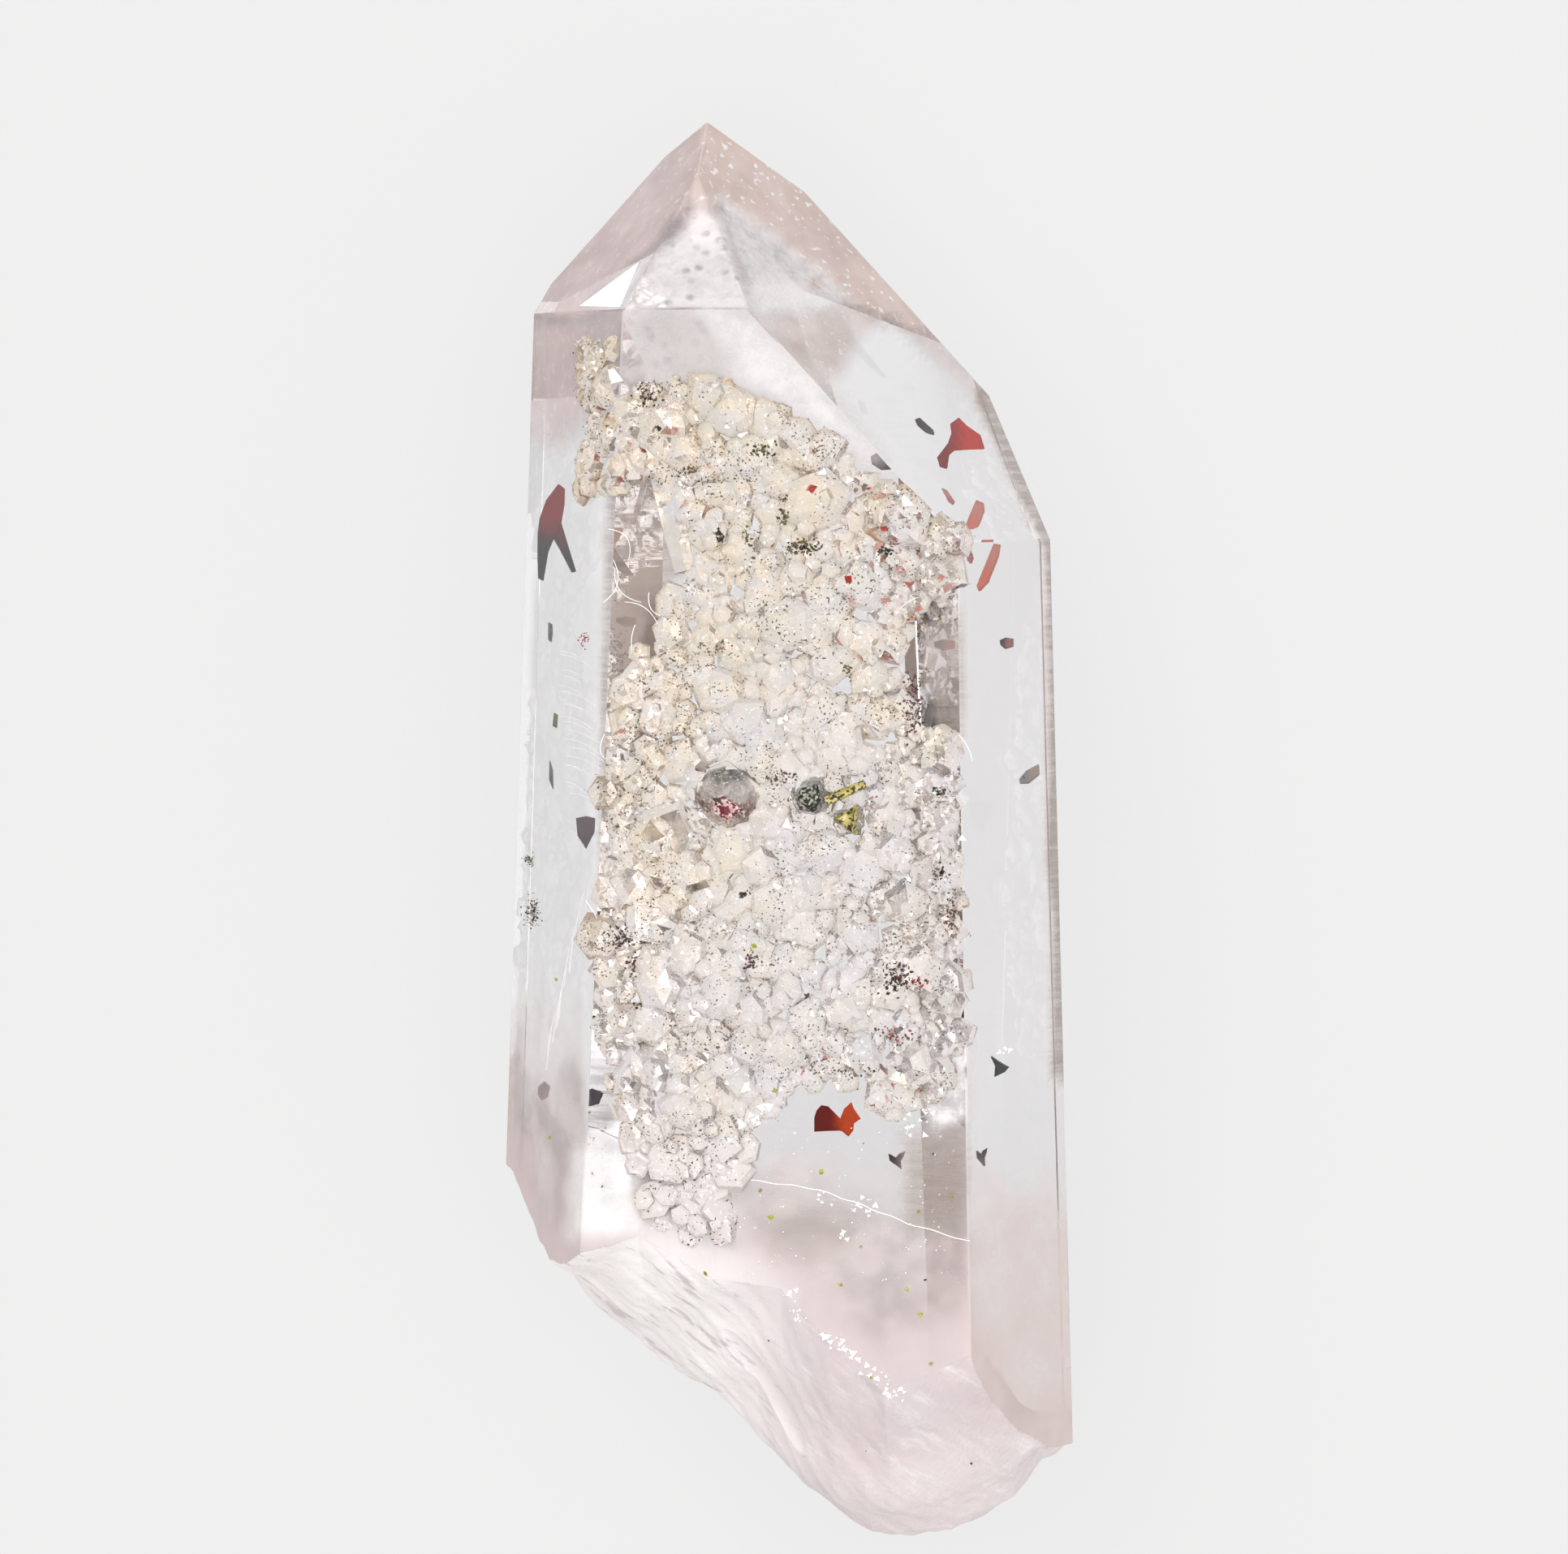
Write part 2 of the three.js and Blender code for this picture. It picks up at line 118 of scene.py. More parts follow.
# %% Find what lies behind a pixel
QUARTZ_IOR = 1.544


def sights(pixels):
    """Directions from the camera's eye through pixels of the photo: so far right, so far down and so far
    ahead."""
    right, down = (np.array(pixels, float) - PHOTO_SIZE / 2).T * VIEW_WIDTH / PHOTO_SIZE[0]
    return unit(right[:, None] * camera_right - down[:, None] * camera_up - CAMERA_DISTANCE * to_camera)


def seen_at(pixels, depth=0.0):
    """Places that lie a depth below the front face behind pixels of the photo: each line of sight is
    followed to the front face, and below it along the direction to which quartz bends it."""
    ways = sights(pixels)
    surface = eye + ways * ((FRONT_DISTANCE - eye[2]) / ways[:, 2])[:, None]
    bent = ways / QUARTZ_IOR
    bent[:, 2] = -np.sqrt(1 - bent[:, 0] ** 2 - bent[:, 1] ** 2)
    return surface - bent * (np.full(len(ways), depth) / bent[:, 2])[:, None]


print("behind the middle of the picture:", seen_at([PHOTO_SIZE / 2])[0].round(2))

# %% [markdown]
# ## Faces of the point
# Quartz grows with fixed angles: prism faces every 60 degrees round its length, and pyramid faces whose
# normals lean 38.2 degrees towards the tip. So the point needs no modelling by eye. Each face is a plane,
# and the corners are the places where three planes meet. Whole arrays solve all the meetings at once, and
# the hull of the corners is the crystal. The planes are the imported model's own.

# %% The planes
PYRAMID_LEAN = 38.2
BELOW_THE_BREAK = -24.0
# Azimuth round the long axis (0 is the front, 90 the right), lean towards the tip, distance from the middle.
PRISM_FACES = [
    (0, 0, FRONT_DISTANCE), (60, 0.8, 6.01), (120, 1.8, 5.73),
    (180, 0, BACK_DISTANCE), (-120, 0.8, 6.92), (-60, 2.3, 6.12),
]
PYRAMID_FACES = [
    (0, PYRAMID_LEAN, 10.65), (60, PYRAMID_LEAN, 8.4), (120, PYRAMID_LEAN, 10.33),
    (180, PYRAMID_LEAN, 11.35), (-120, PYRAMID_LEAN, 13.2), (-60, PYRAMID_LEAN, 11.84),
]


def planes_of(faces):
    """Outward normals and distances of faces given by azimuth, lean and distance."""
    azimuth, lean = np.radians(np.array(faces)[:, :2]).T
    normals = [np.sin(azimuth) * np.cos(lean), np.sin(lean), np.cos(azimuth) * np.cos(lean)]
    return np.column_stack(normals), np.array(faces)[:, 2]


face_normals, face_distances = planes_of(PRISM_FACES + PYRAMID_FACES)
print(len(face_normals), "faces")


# %% Meet the planes three by three
SAME_PLACE = 1e-6  # smaller differences than this are rounding


def corners_behind(normals, distances):
    """Corners of the body that planes enclose: where each three planes meet, if that is behind all the
    others."""
    trios = np.array(list(itertools.combinations(range(len(normals)), 3)))
    trios = trios[abs(np.linalg.det(normals[trios])) > SAME_PLACE]
    meetings = np.linalg.solve(normals[trios], distances[trios][..., None])[..., 0]
    behind = np.all(meetings @ normals.T < distances + SAME_PLACE, axis=1)
    return np.unique(meetings[behind].round(5), axis=0)


point_corners = corners_behind(
    np.vstack([face_normals, [[0.0, -1.0, 0.0]]]), np.append(face_distances, -BELOW_THE_BREAK)
)
print(len(point_corners), "corners, tip at", point_corners[point_corners[:, 1].argmax()].round(2))


# %% A worn hull round the corners
EDGE_WEAR = 0.035  # width of the worn edge between two faces
FLAT_ANGLE = np.radians(0.2)  # the hull's triangles that meet at less than this are one face


def shown(name, mesh):
    """An object that shows a mesh."""
    thing = bpy.data.objects.new(name, mesh)
    bpy.context.scene.collection.objects.link(thing)
    return thing


def hull_of(name, corners, wear):
    """The hull of corners as a mesh whose edges are cut off by a narrow worn facet."""
    shell = bmesh.new()
    for corner in corners:
        shell.verts.new(corner)
    bmesh.ops.convex_hull(shell, input=shell.verts)
    bmesh.ops.dissolve_limit(shell, angle_limit=FLAT_ANGLE, verts=shell.verts, edges=shell.edges)
    bmesh.ops.bevel(shell, geom=list(shell.edges), offset=wear, segments=1, affect="EDGES")
    bmesh.ops.recalc_face_normals(shell, faces=shell.faces)
    mesh = bpy.data.meshes.new(name)
    shell.to_mesh(mesh)
    shell.free()
    return shown(name, mesh)


crystal = hull_of("quartz_crystal", point_corners, EDGE_WEAR)
print("hull:", len(crystal.data.polygons), "faces")

# %% [markdown]
# ## Seeded smooth noise
# A broken or grown surface is never exactly its formula. Smooth noise adds the rest: every whole-number
# place gets a random value, and between them the values are blended along an S-curve. It is worked out for
# all points at once and always from a seed, so each run gives the same crystal.


# %% Smooth noise
def smooth_noise(points, seed):
    """Random values from -1 to 1 at whole-number places, blended in between by 3t^2 - 2t^3 along each
    axis."""
    values = np.random.default_rng(seed).uniform(-1, 1, 4096)
    cells = np.floor(points).astype(int)
    t = points - cells
    t = t * t * (3 - 2 * t)
    total = np.zeros(points.shape[:-1])
    for corner in itertools.product((0, 1), repeat=3):
        share = np.prod(np.where(corner, t, 1 - t), axis=-1)
        total += share * values[(cells + corner) @ (1, 57, 3251) % 4096]
    return total


def layered_noise(points, seed, layers=3):
    """Smooth noise with finer and weaker noise on top: each layer is half as wide and half as high."""
    return sum(smooth_noise(points * 2**k, seed + k) / 2**k for k in range(layers))


print("noise at two places:", smooth_noise(np.array([[0.5, 0.5, 0.5], [3.2, 1.1, 7.9]]), 1).round(3))

# %% [markdown]
# ## The broken base
# The point snapped off its matrix, and quartz breaks in curved shells like glass. The break is one surface
# over two parameters, the place across and the depth: it is lofted from its lowest outline to its outline
# on the front face, draws back under the crystal, and carries rings round one place, fine hackle lines and
# a little noise. A block under that surface is then taken off the hull.

# %% Outlines of the break
# Place across and place along, deep in the crystal and on the front face.
BREAK_LOW = np.array([
    [-7.6, -10.3], [-6.95, -11.2], [-6.55, -12.2], [-6.2, -13.2], [-5.85, -13.9], [-4.2, -15.45],
    [-3.3, -16.0], [-2.0, -16.95], [-0.75, -18.1], [0.15, -19.15], [1.0, -19.75], [1.9, -20.15],
    [3.0, -20.25], [4.05, -20.1], [4.9, -19.7], [5.7, -19.1], [6.35, -18.2], [6.85, -18.05], [7.4, -17.8],
])
BREAK_FRONT = np.array([
    [-8.0, -12.6], [-5.45, -12.3], [-3.8, -11.95], [-2.0, -12.8], [-0.1, -13.3], [1.1, -14.6], [2.6, -15.8],
    [3.6, -15.4], [4.7, -14.8], [8.0, -14.6],
])
BREAK_TURN_FRONT, BREAK_TURN_BACK = -1.0, -2.0  # depths between which the break is lowest
BREAK_UNDERCUT = 2.6
SWELL_LEFT, SWELL_RIGHT, SWELL_FROM, SWELL_PER = 1.15, 1.9, -1.0, 0.35
RING_CENTRE, RING_LENGTH, RING_DEPTH = (4.0, -4.0), 2.1, 0.09
HACKLE_DEPTH, HACKLE_ACROSS, HACKLE_ALONG, HACKLE_SEED = 0.05, (1.6, 2.2), (0.35, -0.3), 21
GRAIN_DEPTH, GRAIN_SCALE, GRAIN_SEED = 0.02, 5, 31


def break_along(x, z):
    """Where the break lies along y. The front outline is reached from the low one by a power of the share
    of the depth, the undercut grows with the square of the depth behind it, and rings are a sine of the
    distance from one place. Hackle is noise stretched along a slanting line."""
    low = np.interp(x, *BREAK_LOW.T)
    front = np.interp(x, *BREAK_FRONT.T)
    swell = np.clip(SWELL_LEFT + SWELL_PER * (x - SWELL_FROM), SWELL_LEFT, SWELL_RIGHT)
    rise = np.clip((z - BREAK_TURN_FRONT) / (FRONT_DISTANCE - BREAK_TURN_FRONT), 0, 1) ** swell
    drawn = np.maximum((BREAK_TURN_BACK - z) / (BREAK_TURN_BACK + BACK_DISTANCE), 0) ** 2
    ring = np.sin(2 * np.pi * np.hypot(x - RING_CENTRE[0], z - RING_CENTRE[1]) / RING_LENGTH)
    across_hackle, along_hackle = (way[0] * x + way[1] * z for way in (HACKLE_ACROSS, HACKLE_ALONG))
    hackle = layered_noise(np.stack([across_hackle, along_hackle, 0 * x], axis=-1), HACKLE_SEED)
    grain = smooth_noise(GRAIN_SCALE * np.stack([x, z, 0 * x], axis=-1), GRAIN_SEED)
    fine = RING_DEPTH * ring + HACKLE_DEPTH * hackle + GRAIN_DEPTH * grain
    return low + (front - low) * rise + BREAK_UNDERCUT * drawn + fine


print("break at the middle:", round(float(break_along(np.zeros(1), np.zeros(1))[0]), 2))


# %% A closed block under a surface
def grid_quads(rows, columns, start=0):
    """Faces of a grid whose points are numbered row by row."""
    corner = start + (np.arange(rows - 1)[:, None] * columns + np.arange(columns - 1)).reshape(-1, 1)
    return corner + np.array([0, 1, columns + 1, columns])


def mesh_of(name, points, faces):
    """An object from points and rows of point numbers, still in millimetres, with its faces turned
    outwards."""
    mesh = bpy.data.meshes.new(name)
    mesh.from_pydata(points.tolist(), [], faces if isinstance(faces, list) else faces.tolist())
    shell = bmesh.new()
    shell.from_mesh(mesh)
    bmesh.ops.recalc_face_normals(shell, faces=shell.faces)
    shell.to_mesh(mesh)
    shell.free()
    return shown(name, mesh)


BREAK_GRID, BREAK_ACROSS, BREAK_DEEP = 0.1, (-9.1, 9.1), (-8.4, 5.6)  # step and reach of the surface
x, z = np.meshgrid(np.arange(*BREAK_ACROSS, BREAK_GRID), np.arange(*BREAK_DEEP, BREAK_GRID))
top = np.stack([x, break_along(x, z), z], axis=-1)
bottom = top.copy()
bottom[..., 1] = 2 * BELOW_THE_BREAK
rows, columns = x.shape
number = np.arange(rows * columns).reshape(rows, columns)
rim = np.concatenate([number[0, :-1], number[:-1, -1], number[-1, :0:-1], number[:0:-1, 0]])
wall = np.column_stack([rim, np.roll(rim, -1), np.roll(rim, -1) + rows * columns, rim + rows * columns])
block_faces = np.vstack([grid_quads(rows, columns), grid_quads(rows, columns, rows * columns), wall])
missing_base = mesh_of("missing_base", np.vstack([top.reshape(-1, 3), bottom.reshape(-1, 3)]), block_faces)
print("missing base:", len(missing_base.data.polygons), "faces")


# %% Cut and join closed shapes
def combined(body, tool, operation):
    """Cuts a tool from a body, or joins it on, keeps the result as the body's mesh and removes the tool."""
    step = body.modifiers.new(operation, "BOOLEAN")
    step.operation = operation
    step.solver = "MANIFOLD"
    step.object = tool
    depsgraph = bpy.context.evaluated_depsgraph_get()
    result = bpy.data.meshes.new_from_object(body.evaluated_get(depsgraph))
    body.modifiers.clear()
    body.data = result
    bpy.data.objects.remove(tool)


combined(crystal, missing_base, "DIFFERENCE")
print("with its broken base:", len(crystal.data.polygons), "faces")

# %% [markdown]
# ## The scoop
# Left of the break's main ridge a long shallow scoop was torn out. It is an ellipsoid: a ball over two
# angles, stretched along three directions of its own.

# %% Scoop out the break
SCOOP_MIDDLE = np.array([-0.75, -16.25, 1.7])
SCOOP_RADII = np.array([0.6, 2.3, 0.42])
SCOOP_ALONG = np.array([0.43, -0.84, -0.33])
SCOOP_OUT = np.array([-0.5, -0.6, 0.62])
SCOOP_STEPS = 64, 32  # round it and up it


def ring_faces(rings, sides):
    """Faces of closed rings that follow each other, with the pole past the first ring and the one past the
    last as the two points after the rings."""
    side = np.arange(sides)
    after = (side + 1) % sides
    walls = [
        np.column_stack([side, after, sides + after, sides + side]) + k * sides
        for k in range(rings - 1)
    ]
    last = (rings - 1) * sides
    near = np.column_stack([np.full(sides, last + sides), after, side])
    far = np.column_stack([last + side, last + after, np.full(sides, last + sides + 1)])
    return [*np.vstack(walls).tolist(), *near.tolist(), *far.tolist()]


def ball(steps_round, steps_up):
    """Points of a ball, a ring at a time and then the two poles: the sine and cosine of an angle round it
    and of an angle up it."""
    round_it, up_it = np.meshgrid(
        np.arange(steps_round) * 2 * np.pi / steps_round, np.linspace(0, np.pi, steps_up + 1)[1:-1]
    )
    wide = np.sin(up_it)
    rings = np.stack([np.cos(round_it) * wide, np.sin(round_it) * wide, np.cos(up_it)], axis=-1)
    return np.vstack([rings.reshape(-1, 3), [[0, 0, 1], [0, 0, -1]]])


out = unit(SCOOP_OUT)
aside = unit(np.cross(SCOOP_ALONG, out))
scoop_axes = np.array([aside, np.cross(out, aside), out])
scoop_points = SCOOP_MIDDLE + (ball(*SCOOP_STEPS) * SCOOP_RADII) @ scoop_axes
scoop = mesh_of("scoop", scoop_points, ring_faces(SCOOP_STEPS[1] - 1, SCOOP_STEPS[0]))
combined(crystal, scoop, "DIFFERENCE")
print("with the scoop:", len(crystal.data.polygons), "faces")

# %% [markdown]
# ## The druse
# A druse is a crust of crystals that all grow outwards and stop each other. Hundreds of them are needed, so
# each has only a few dozen faces and all are worked out together as arrays: a profile of radius and height
# carried round in six steps, with every side a little different, then tilted at random and stood on the
# face. Three sizes are seated one after the other, the smaller ones on the shoulders of the larger, as they
# grow.

# %% Where the druse grows
# Edge of the druse on the front face, from its upper left corner clockwise.
DRUSE_EDGE = np.array([
    [-4.4, 8.8], [-3.7, 10.0], [-1.4, 10.0], [0.7, 9.1], [1.9, 7.9], [2.9, 7.3], [4.45, 6.3], [4.7, 4.7],
    [3.4, 4.4], [3.0, 2.9], [3.5, 1.3], [4.45, 0.9], [4.5, -7.5], [4.1, -8.3], [3.1, -8.7], [2.5, -8.4],
    [2.2, -7.9], [0.4, -7.9], [-0.2, -8.6], [-0.7, -9.0], [-1.5, -10.5], [-1.4, -11.6], [-2.0, -12.0],
    [-3.6, -11.5], [-4.0, -9.5], [-4.8, -6.9], [-4.9, -3.4], [-4.6, -2.6], [-4.6, 0.1], [-4.1, 2.7],
    [-3.0, 4.5], [-2.3, 5.4], [-2.8, 7.9], [-4.3, 7.4],
])
# The largest crystals: place on the front face and radius.
LARGE_CRYSTALS = np.array([
    [-2.85, 9.2, 0.72], [-1.3, 9.35, 0.74], [0.9, 7.05, 0.95], [2.9, 6.6, 0.9], [-3.15, -1.5, 0.98],
    [-1.5, -0.55, 0.92], [0.75, -0.45, 0.85], [0.1, 3.9, 0.82], [3.2, -7.4, 0.75], [3.95, -2.5, 0.78],
    [-3.1, 1.6, 0.7], [-3.3, -3.6, 0.85], [2.0, 4.9, 0.72], [-1.9, 6.3, 0.66], [-0.2, -3.3, 0.74],
    [1.9, -3.9, 0.7], [-1.6, -5.6, 0.76], [1.0, 1.6, 0.68], [-3.4, -6.2, 0.7], [3.6, -4.9, 0.72],
    [0.6, -6.3, 0.7], [-2.9, -9.8, 0.75],
])
# Crystals full of ore: pixel, radius, height, sides, and the stain above and below the pixel.
STAINED_CRYSTALS = [
    ((894, 986), 0.66, 0.6, 7, "black_green", "purple"),
    ((998, 982), 0.5, 0.6, 6, "black_green", "black_green"),
    ((1046, 1011), 0.42, 0.62, 3, "yellow_green", "yellow_green"),
]
DRUSE_SIZES = {"middle": (0.88, (0.42, 0.7)), "small": (0.66, (0.13, 0.36)), "filling": (0.45, (0.27, 0.36))}
DRUSE_CORNER, DRUSE_REACH = (-5.4, -12.6), (11.5, 24)  # lower left corner of the rows, and how far they go
ROW_HEIGHT, PUSHED_ASIDE = 0.87, 0.42  # shares of the spacing


def inside_outline(places, outline):
    """Which places lie inside an outline: a line from the place crosses its sides an odd number of times."""
    x, y = places[:, :1], places[:, 1:2]
    ax, ay = outline.T
    bx, by = np.roll(outline, -1, axis=0).T
    crosses = ((ay > y) != (by > y)) & (x < (bx - ax) * (y - ay) / (by - ay) + ax)
    return crosses.sum(axis=1) % 2 == 1


def staggered_places(spacing, rng):
    """Rows of staggered places inside the druse's edge, each pushed aside at random."""
    row, column = np.mgrid[: int(DRUSE_REACH[1] / (ROW_HEIGHT * spacing)), : int(DRUSE_REACH[0] / spacing)]
    steps = np.column_stack([(column + 0.5 * (row % 2)).ravel(), ROW_HEIGHT * row.ravel()])
    places = DRUSE_CORNER + steps * spacing
    places += rng.uniform(-PUSHED_ASIDE, PUSHED_ASIDE, places.shape) * spacing
    return places[inside_outline(places, DRUSE_EDGE)]


rng = np.random.default_rng(12)
places = {size: staggered_places(spacing, rng) for size, (spacing, _) in DRUSE_SIZES.items()}
print("places:", {size: len(rows) for size, rows in places.items()})

# %% Seat them on each other
CRYSTAL_HEIGHTS = (0.45, 0.82)  # of the radius
TALLEST = 0.8  # no crystal stands further out of the face
DOME_HEIGHT, SHOULDER = 0.85, 0.55  # of the radius, and of the dome, where a smaller crystal is seated
# Shares of a crystal's radius within which no smaller one is seated.
MIDDLE_CLEAR, FILLING_CLEAR, STAINED_CLEAR = 0.9, 0.75, {"middle": 1.3, "small": 1.2}
STAINED_DEPTH = -0.4  # the pixels of stained crystals are met this far above the face


def seats_on(places, earlier, lift):
    """Heights of seats above the face: a share of the dome that the tallest earlier crystal makes there."""
    across = np.linalg.norm(places[:, None] - earlier[None, :, :2], axis=-1)
    dome = np.sqrt(np.clip(1 - (across / earlier[:, 2]) ** 2, 0, None))
    return lift * (earlier[:, 3] + dome * earlier[:, 2] * DOME_HEIGHT).max(axis=1) * (dome.max(axis=1) > 0)


def clear_of(places, earlier, share):
    """Which places lie outside a share of the radius of every earlier crystal."""
    across = np.linalg.norm(places[:, None] - earlier[None, :, :2], axis=-1)
    return np.all(across > share * earlier[:, 2], axis=1)


def sized(size, kept, lift):
    """Rows for small crystals: place, radius at random within the range for their size, and height of the
    seat."""
    radii = rng.uniform(*DRUSE_SIZES[size][1], kept.sum())
    return np.column_stack([places[size][kept], radii, np.full(kept.sum(), 0.0) + lift])


stained_middles = seen_at([stained[0] for stained in STAINED_CRYSTALS], STAINED_DEPTH)[:, :2]
stained_spots = np.column_stack([stained_middles, [stained[1] for stained in STAINED_CRYSTALS]])
off_stained = {size: clear_of(places[size], stained_spots, share) for size, share in STAINED_CLEAR.items()}
large = np.column_stack([LARGE_CRYSTALS, np.zeros(len(LARGE_CRYSTALS))])
middle = sized("middle", clear_of(places["middle"], large, MIDDLE_CLEAR) & off_stained["middle"], 0)
bigger = np.vstack([large, middle])
shoulders = seats_on(places["small"][off_stained["small"]], bigger, SHOULDER)
small = sized("small", off_stained["small"], shoulders)
filling = sized("filling", clear_of(places["filling"], bigger, FILLING_CLEAR), 0)
druse = np.vstack([large, middle, small, filling])
print("druse crystals on the front face:", len(druse))


# %% The shells of many small crystals
ROOT_DEPTH = 0.4
UNEVEN_SIDES, TIP_ASIDE = (0.82, 1.16), 0.16  # shares of the radius
# Share of the radius and of the height, from the root up.
SMALL_PROFILE = np.array([[0.95, 0.0], [1.0, 0.26], [0.78, 0.68], [0.34, 0.94]])


def turns(axes, angles):
    """Rotation matrices by the rule of an axis and an angle, for many turns together."""
    zero = np.zeros(len(axes))
    x, y, z = unit(axes).T
    cross = np.stack([zero, -z, y, z, zero, -x, -y, x, zero], axis=1).reshape(-1, 3, 3)
    sine, cosine = np.sin(angles)[:, None, None], np.cos(angles)[:, None, None]
    return np.eye(3) + sine * cross + (1 - cosine) * (cross @ cross)


def standing_on(normals):
    """Matrices whose third column is each normal and whose first two lie in its face."""
    first = unit(np.cross([0.0, 1.0, 0.0], normals))
    return np.stack([first, np.cross(normals, first), normals], axis=2)


def crystal_shells(seats, normals, radii, heights, tilts, profile, root, rng, sides=6):
    """Points of small crystals, one row for each. Round a crystal an angle goes in even steps, and up it a
    level goes through the profile. A point is the radius at its level, times a random share for its side,
    turned by the angle. The root reaches below the seat, and the tip stands a little aside."""
    count = len(seats)
    spin = rng.uniform(0, 2 * np.pi, (count, 1))
    angle = spin + np.arange(sides) * 2 * np.pi / sides
    uneven = rng.uniform(*UNEVEN_SIDES, (count, 1, sides))
    radius = radii[:, None, None] * profile[None, :, :1] * uneven
    level = heights[:, None] * profile[:, 1]
    level[:, 0] = -root
    rings = np.stack([
        radius * np.cos(angle)[:, None],
        radius * np.sin(angle)[:, None],
        np.broadcast_to(level[..., None], radius.shape),
    ], axis=-1)
    tip = np.column_stack([rng.uniform(-TIP_ASIDE, TIP_ASIDE, (count, 2)) * radii[:, None], heights])
    foot = np.column_stack([np.zeros((count, 2)), np.full(count, -root)])
    points = np.concatenate([rings.reshape(count, -1, 3), foot[:, None], tip[:, None]], axis=1)
    lean = rng.uniform(0, 2 * np.pi, count)
    tilt = turns(np.column_stack([np.cos(lean), np.sin(lean), np.zeros(count)]), tilts)
    return np.einsum("nij,nkj->nki", standing_on(normals) @ tilt, points) + seats[:, None]


def upright(count):
    """The front face's normal, once for each of many pieces."""
    return np.tile([0.0, 0.0, 1.0], (count, 1))


TILT_RANGE = np.radians([4, 38])
LOW_END = (-11.0, -7.5), (0.45, 1.0)  # two places along the point, and the share of the full height there
druse_seats = np.column_stack([druse[:, :2], FRONT_DISTANCE + druse[:, 3]])
druse_heights = np.minimum(druse[:, 2] * rng.uniform(*CRYSTAL_HEIGHTS, len(druse)), TALLEST - druse[:, 3])
druse_heights *= np.interp(druse[:, 1], *LOW_END)
druse_tilts = rng.uniform(*TILT_RANGE, len(druse))
druse_points = crystal_shells(
    druse_seats, upright(len(druse)), druse[:, 2], druse_heights, druse_tilts, SMALL_PROFILE, ROOT_DEPTH, rng
)
print("points in the druse:", druse_points.shape)

# %% [markdown]
# ## The druse turns over an edge
# At the upper left the crust reaches over the edge onto the left prism face, and a slim clear rod lies
# along the front face beside it. Both use the same shells.

# %% The flap on the left face, and the rod
LEFT_PRISM = 5  # place of the left prism face in the list of faces
FLAP_ALONG, FLAP_DOWN, FLAP_COUNT = (7.3, 11.1), (0.3, 2.3), 40
FLAP_RADII, FLAP_HEIGHT = (0.24, 0.5), 0.85
BAR_FROM, BAR_TO = np.array([-3.2, 7.9, FRONT_DISTANCE]), np.array([-2.55, 5.2, FRONT_DISTANCE])
BAR_RADIUS, BAR_ROOT, BAR_SEED = 0.33, 0.1, 7
BAR_PROFILE = np.array([[0.9, 0.0], [1.0, 0.3], [0.95, 0.6], [0.8, 0.97]])

left_normal, left_distance = face_normals[LEFT_PRISM], face_distances[LEFT_PRISM]
down_left = np.array([-np.cos(np.radians(60)), 0, -np.sin(np.radians(60))])
along = rng.uniform(*FLAP_ALONG, FLAP_COUNT)
edge_x = (left_distance - along * left_normal[1] - FRONT_DISTANCE * left_normal[2]) / left_normal[0]
flap_seats = np.column_stack([edge_x, along, np.full(FLAP_COUNT, FRONT_DISTANCE)])
flap_seats += rng.uniform(*FLAP_DOWN, (FLAP_COUNT, 1)) * down_left
flap_radii = rng.uniform(*FLAP_RADII, FLAP_COUNT)
flap_points = crystal_shells(
    flap_seats, np.tile(left_normal, (FLAP_COUNT, 1)), flap_radii, FLAP_HEIGHT * flap_radii,
    rng.uniform(*TILT_RANGE, FLAP_COUNT), SMALL_PROFILE, ROOT_DEPTH, rng,
)
bar_way, bar_length = unit(BAR_TO - BAR_FROM), np.linalg.norm(BAR_TO - BAR_FROM)
bar_points = crystal_shells(
    BAR_FROM[None], bar_way[None], np.array([BAR_RADIUS]), np.array([bar_length]), np.zeros(1), BAR_PROFILE,
    BAR_ROOT, np.random.default_rng(BAR_SEED),
)
print("flap crystals:", FLAP_COUNT, "rod length:", round(bar_length, 2))


# %% Join the druse to the point
def apart_groups(middles, reaches):
    """Puts each shell in the first group where it touches no other, so that each group is a clean set of
    closed shapes that can be joined on in one step."""
    touching = np.linalg.norm(middles[:, None] - middles, axis=-1) < reaches[:, None] + reaches
    group = np.full(len(middles), -1)
    for k in range(len(middles)):
        taken = group[:k][touching[k, :k]]
        group[k] = np.setdiff1d(np.arange(len(middles)), taken)[0]
    return group


def shells_mesh(name, points, sides=6):
    """One object from shells that all have the same number of points."""
    pattern = ring_faces((points.shape[1] - 2) // sides, sides)
    faces = [[n + k * points.shape[1] for n in face] for k in range(len(points)) for face in pattern]
    return mesh_of(name, points.reshape(-1, 3), faces)


KEPT_APART = 0.02
shell_points = np.concatenate([druse_points, flap_points, bar_points])
middles = shell_points.mean(axis=1)
reaches = np.linalg.norm(shell_points - middles[:, None], axis=-1).max(axis=1) + KEPT_APART
groups = apart_groups(middles, reaches)
for group in range(groups.max() + 1):
    combined(crystal, shells_mesh("druse_part", shell_points[groups == group]), "UNION")
print("joined in", groups.max() + 1, "steps:", len(crystal.data.polygons), "faces")

# %% [markdown]
# ## Marking the surfaces
# One material covers the clear piece, because light has to enter and leave it by the same absorbing quartz.
# What differs over the surface is therefore marked on the faces: druse where a face stands outside the
# planes, and break where it lies well inside all of them. The material reads the two marks.


# %% Mark the faces
def array_of(items, field, width):
    """One field of many mesh items as an array."""
    values = np.empty(len(items) * width, np.float32)
    items.foreach_get(field, values)
    return values.reshape(-1, width)


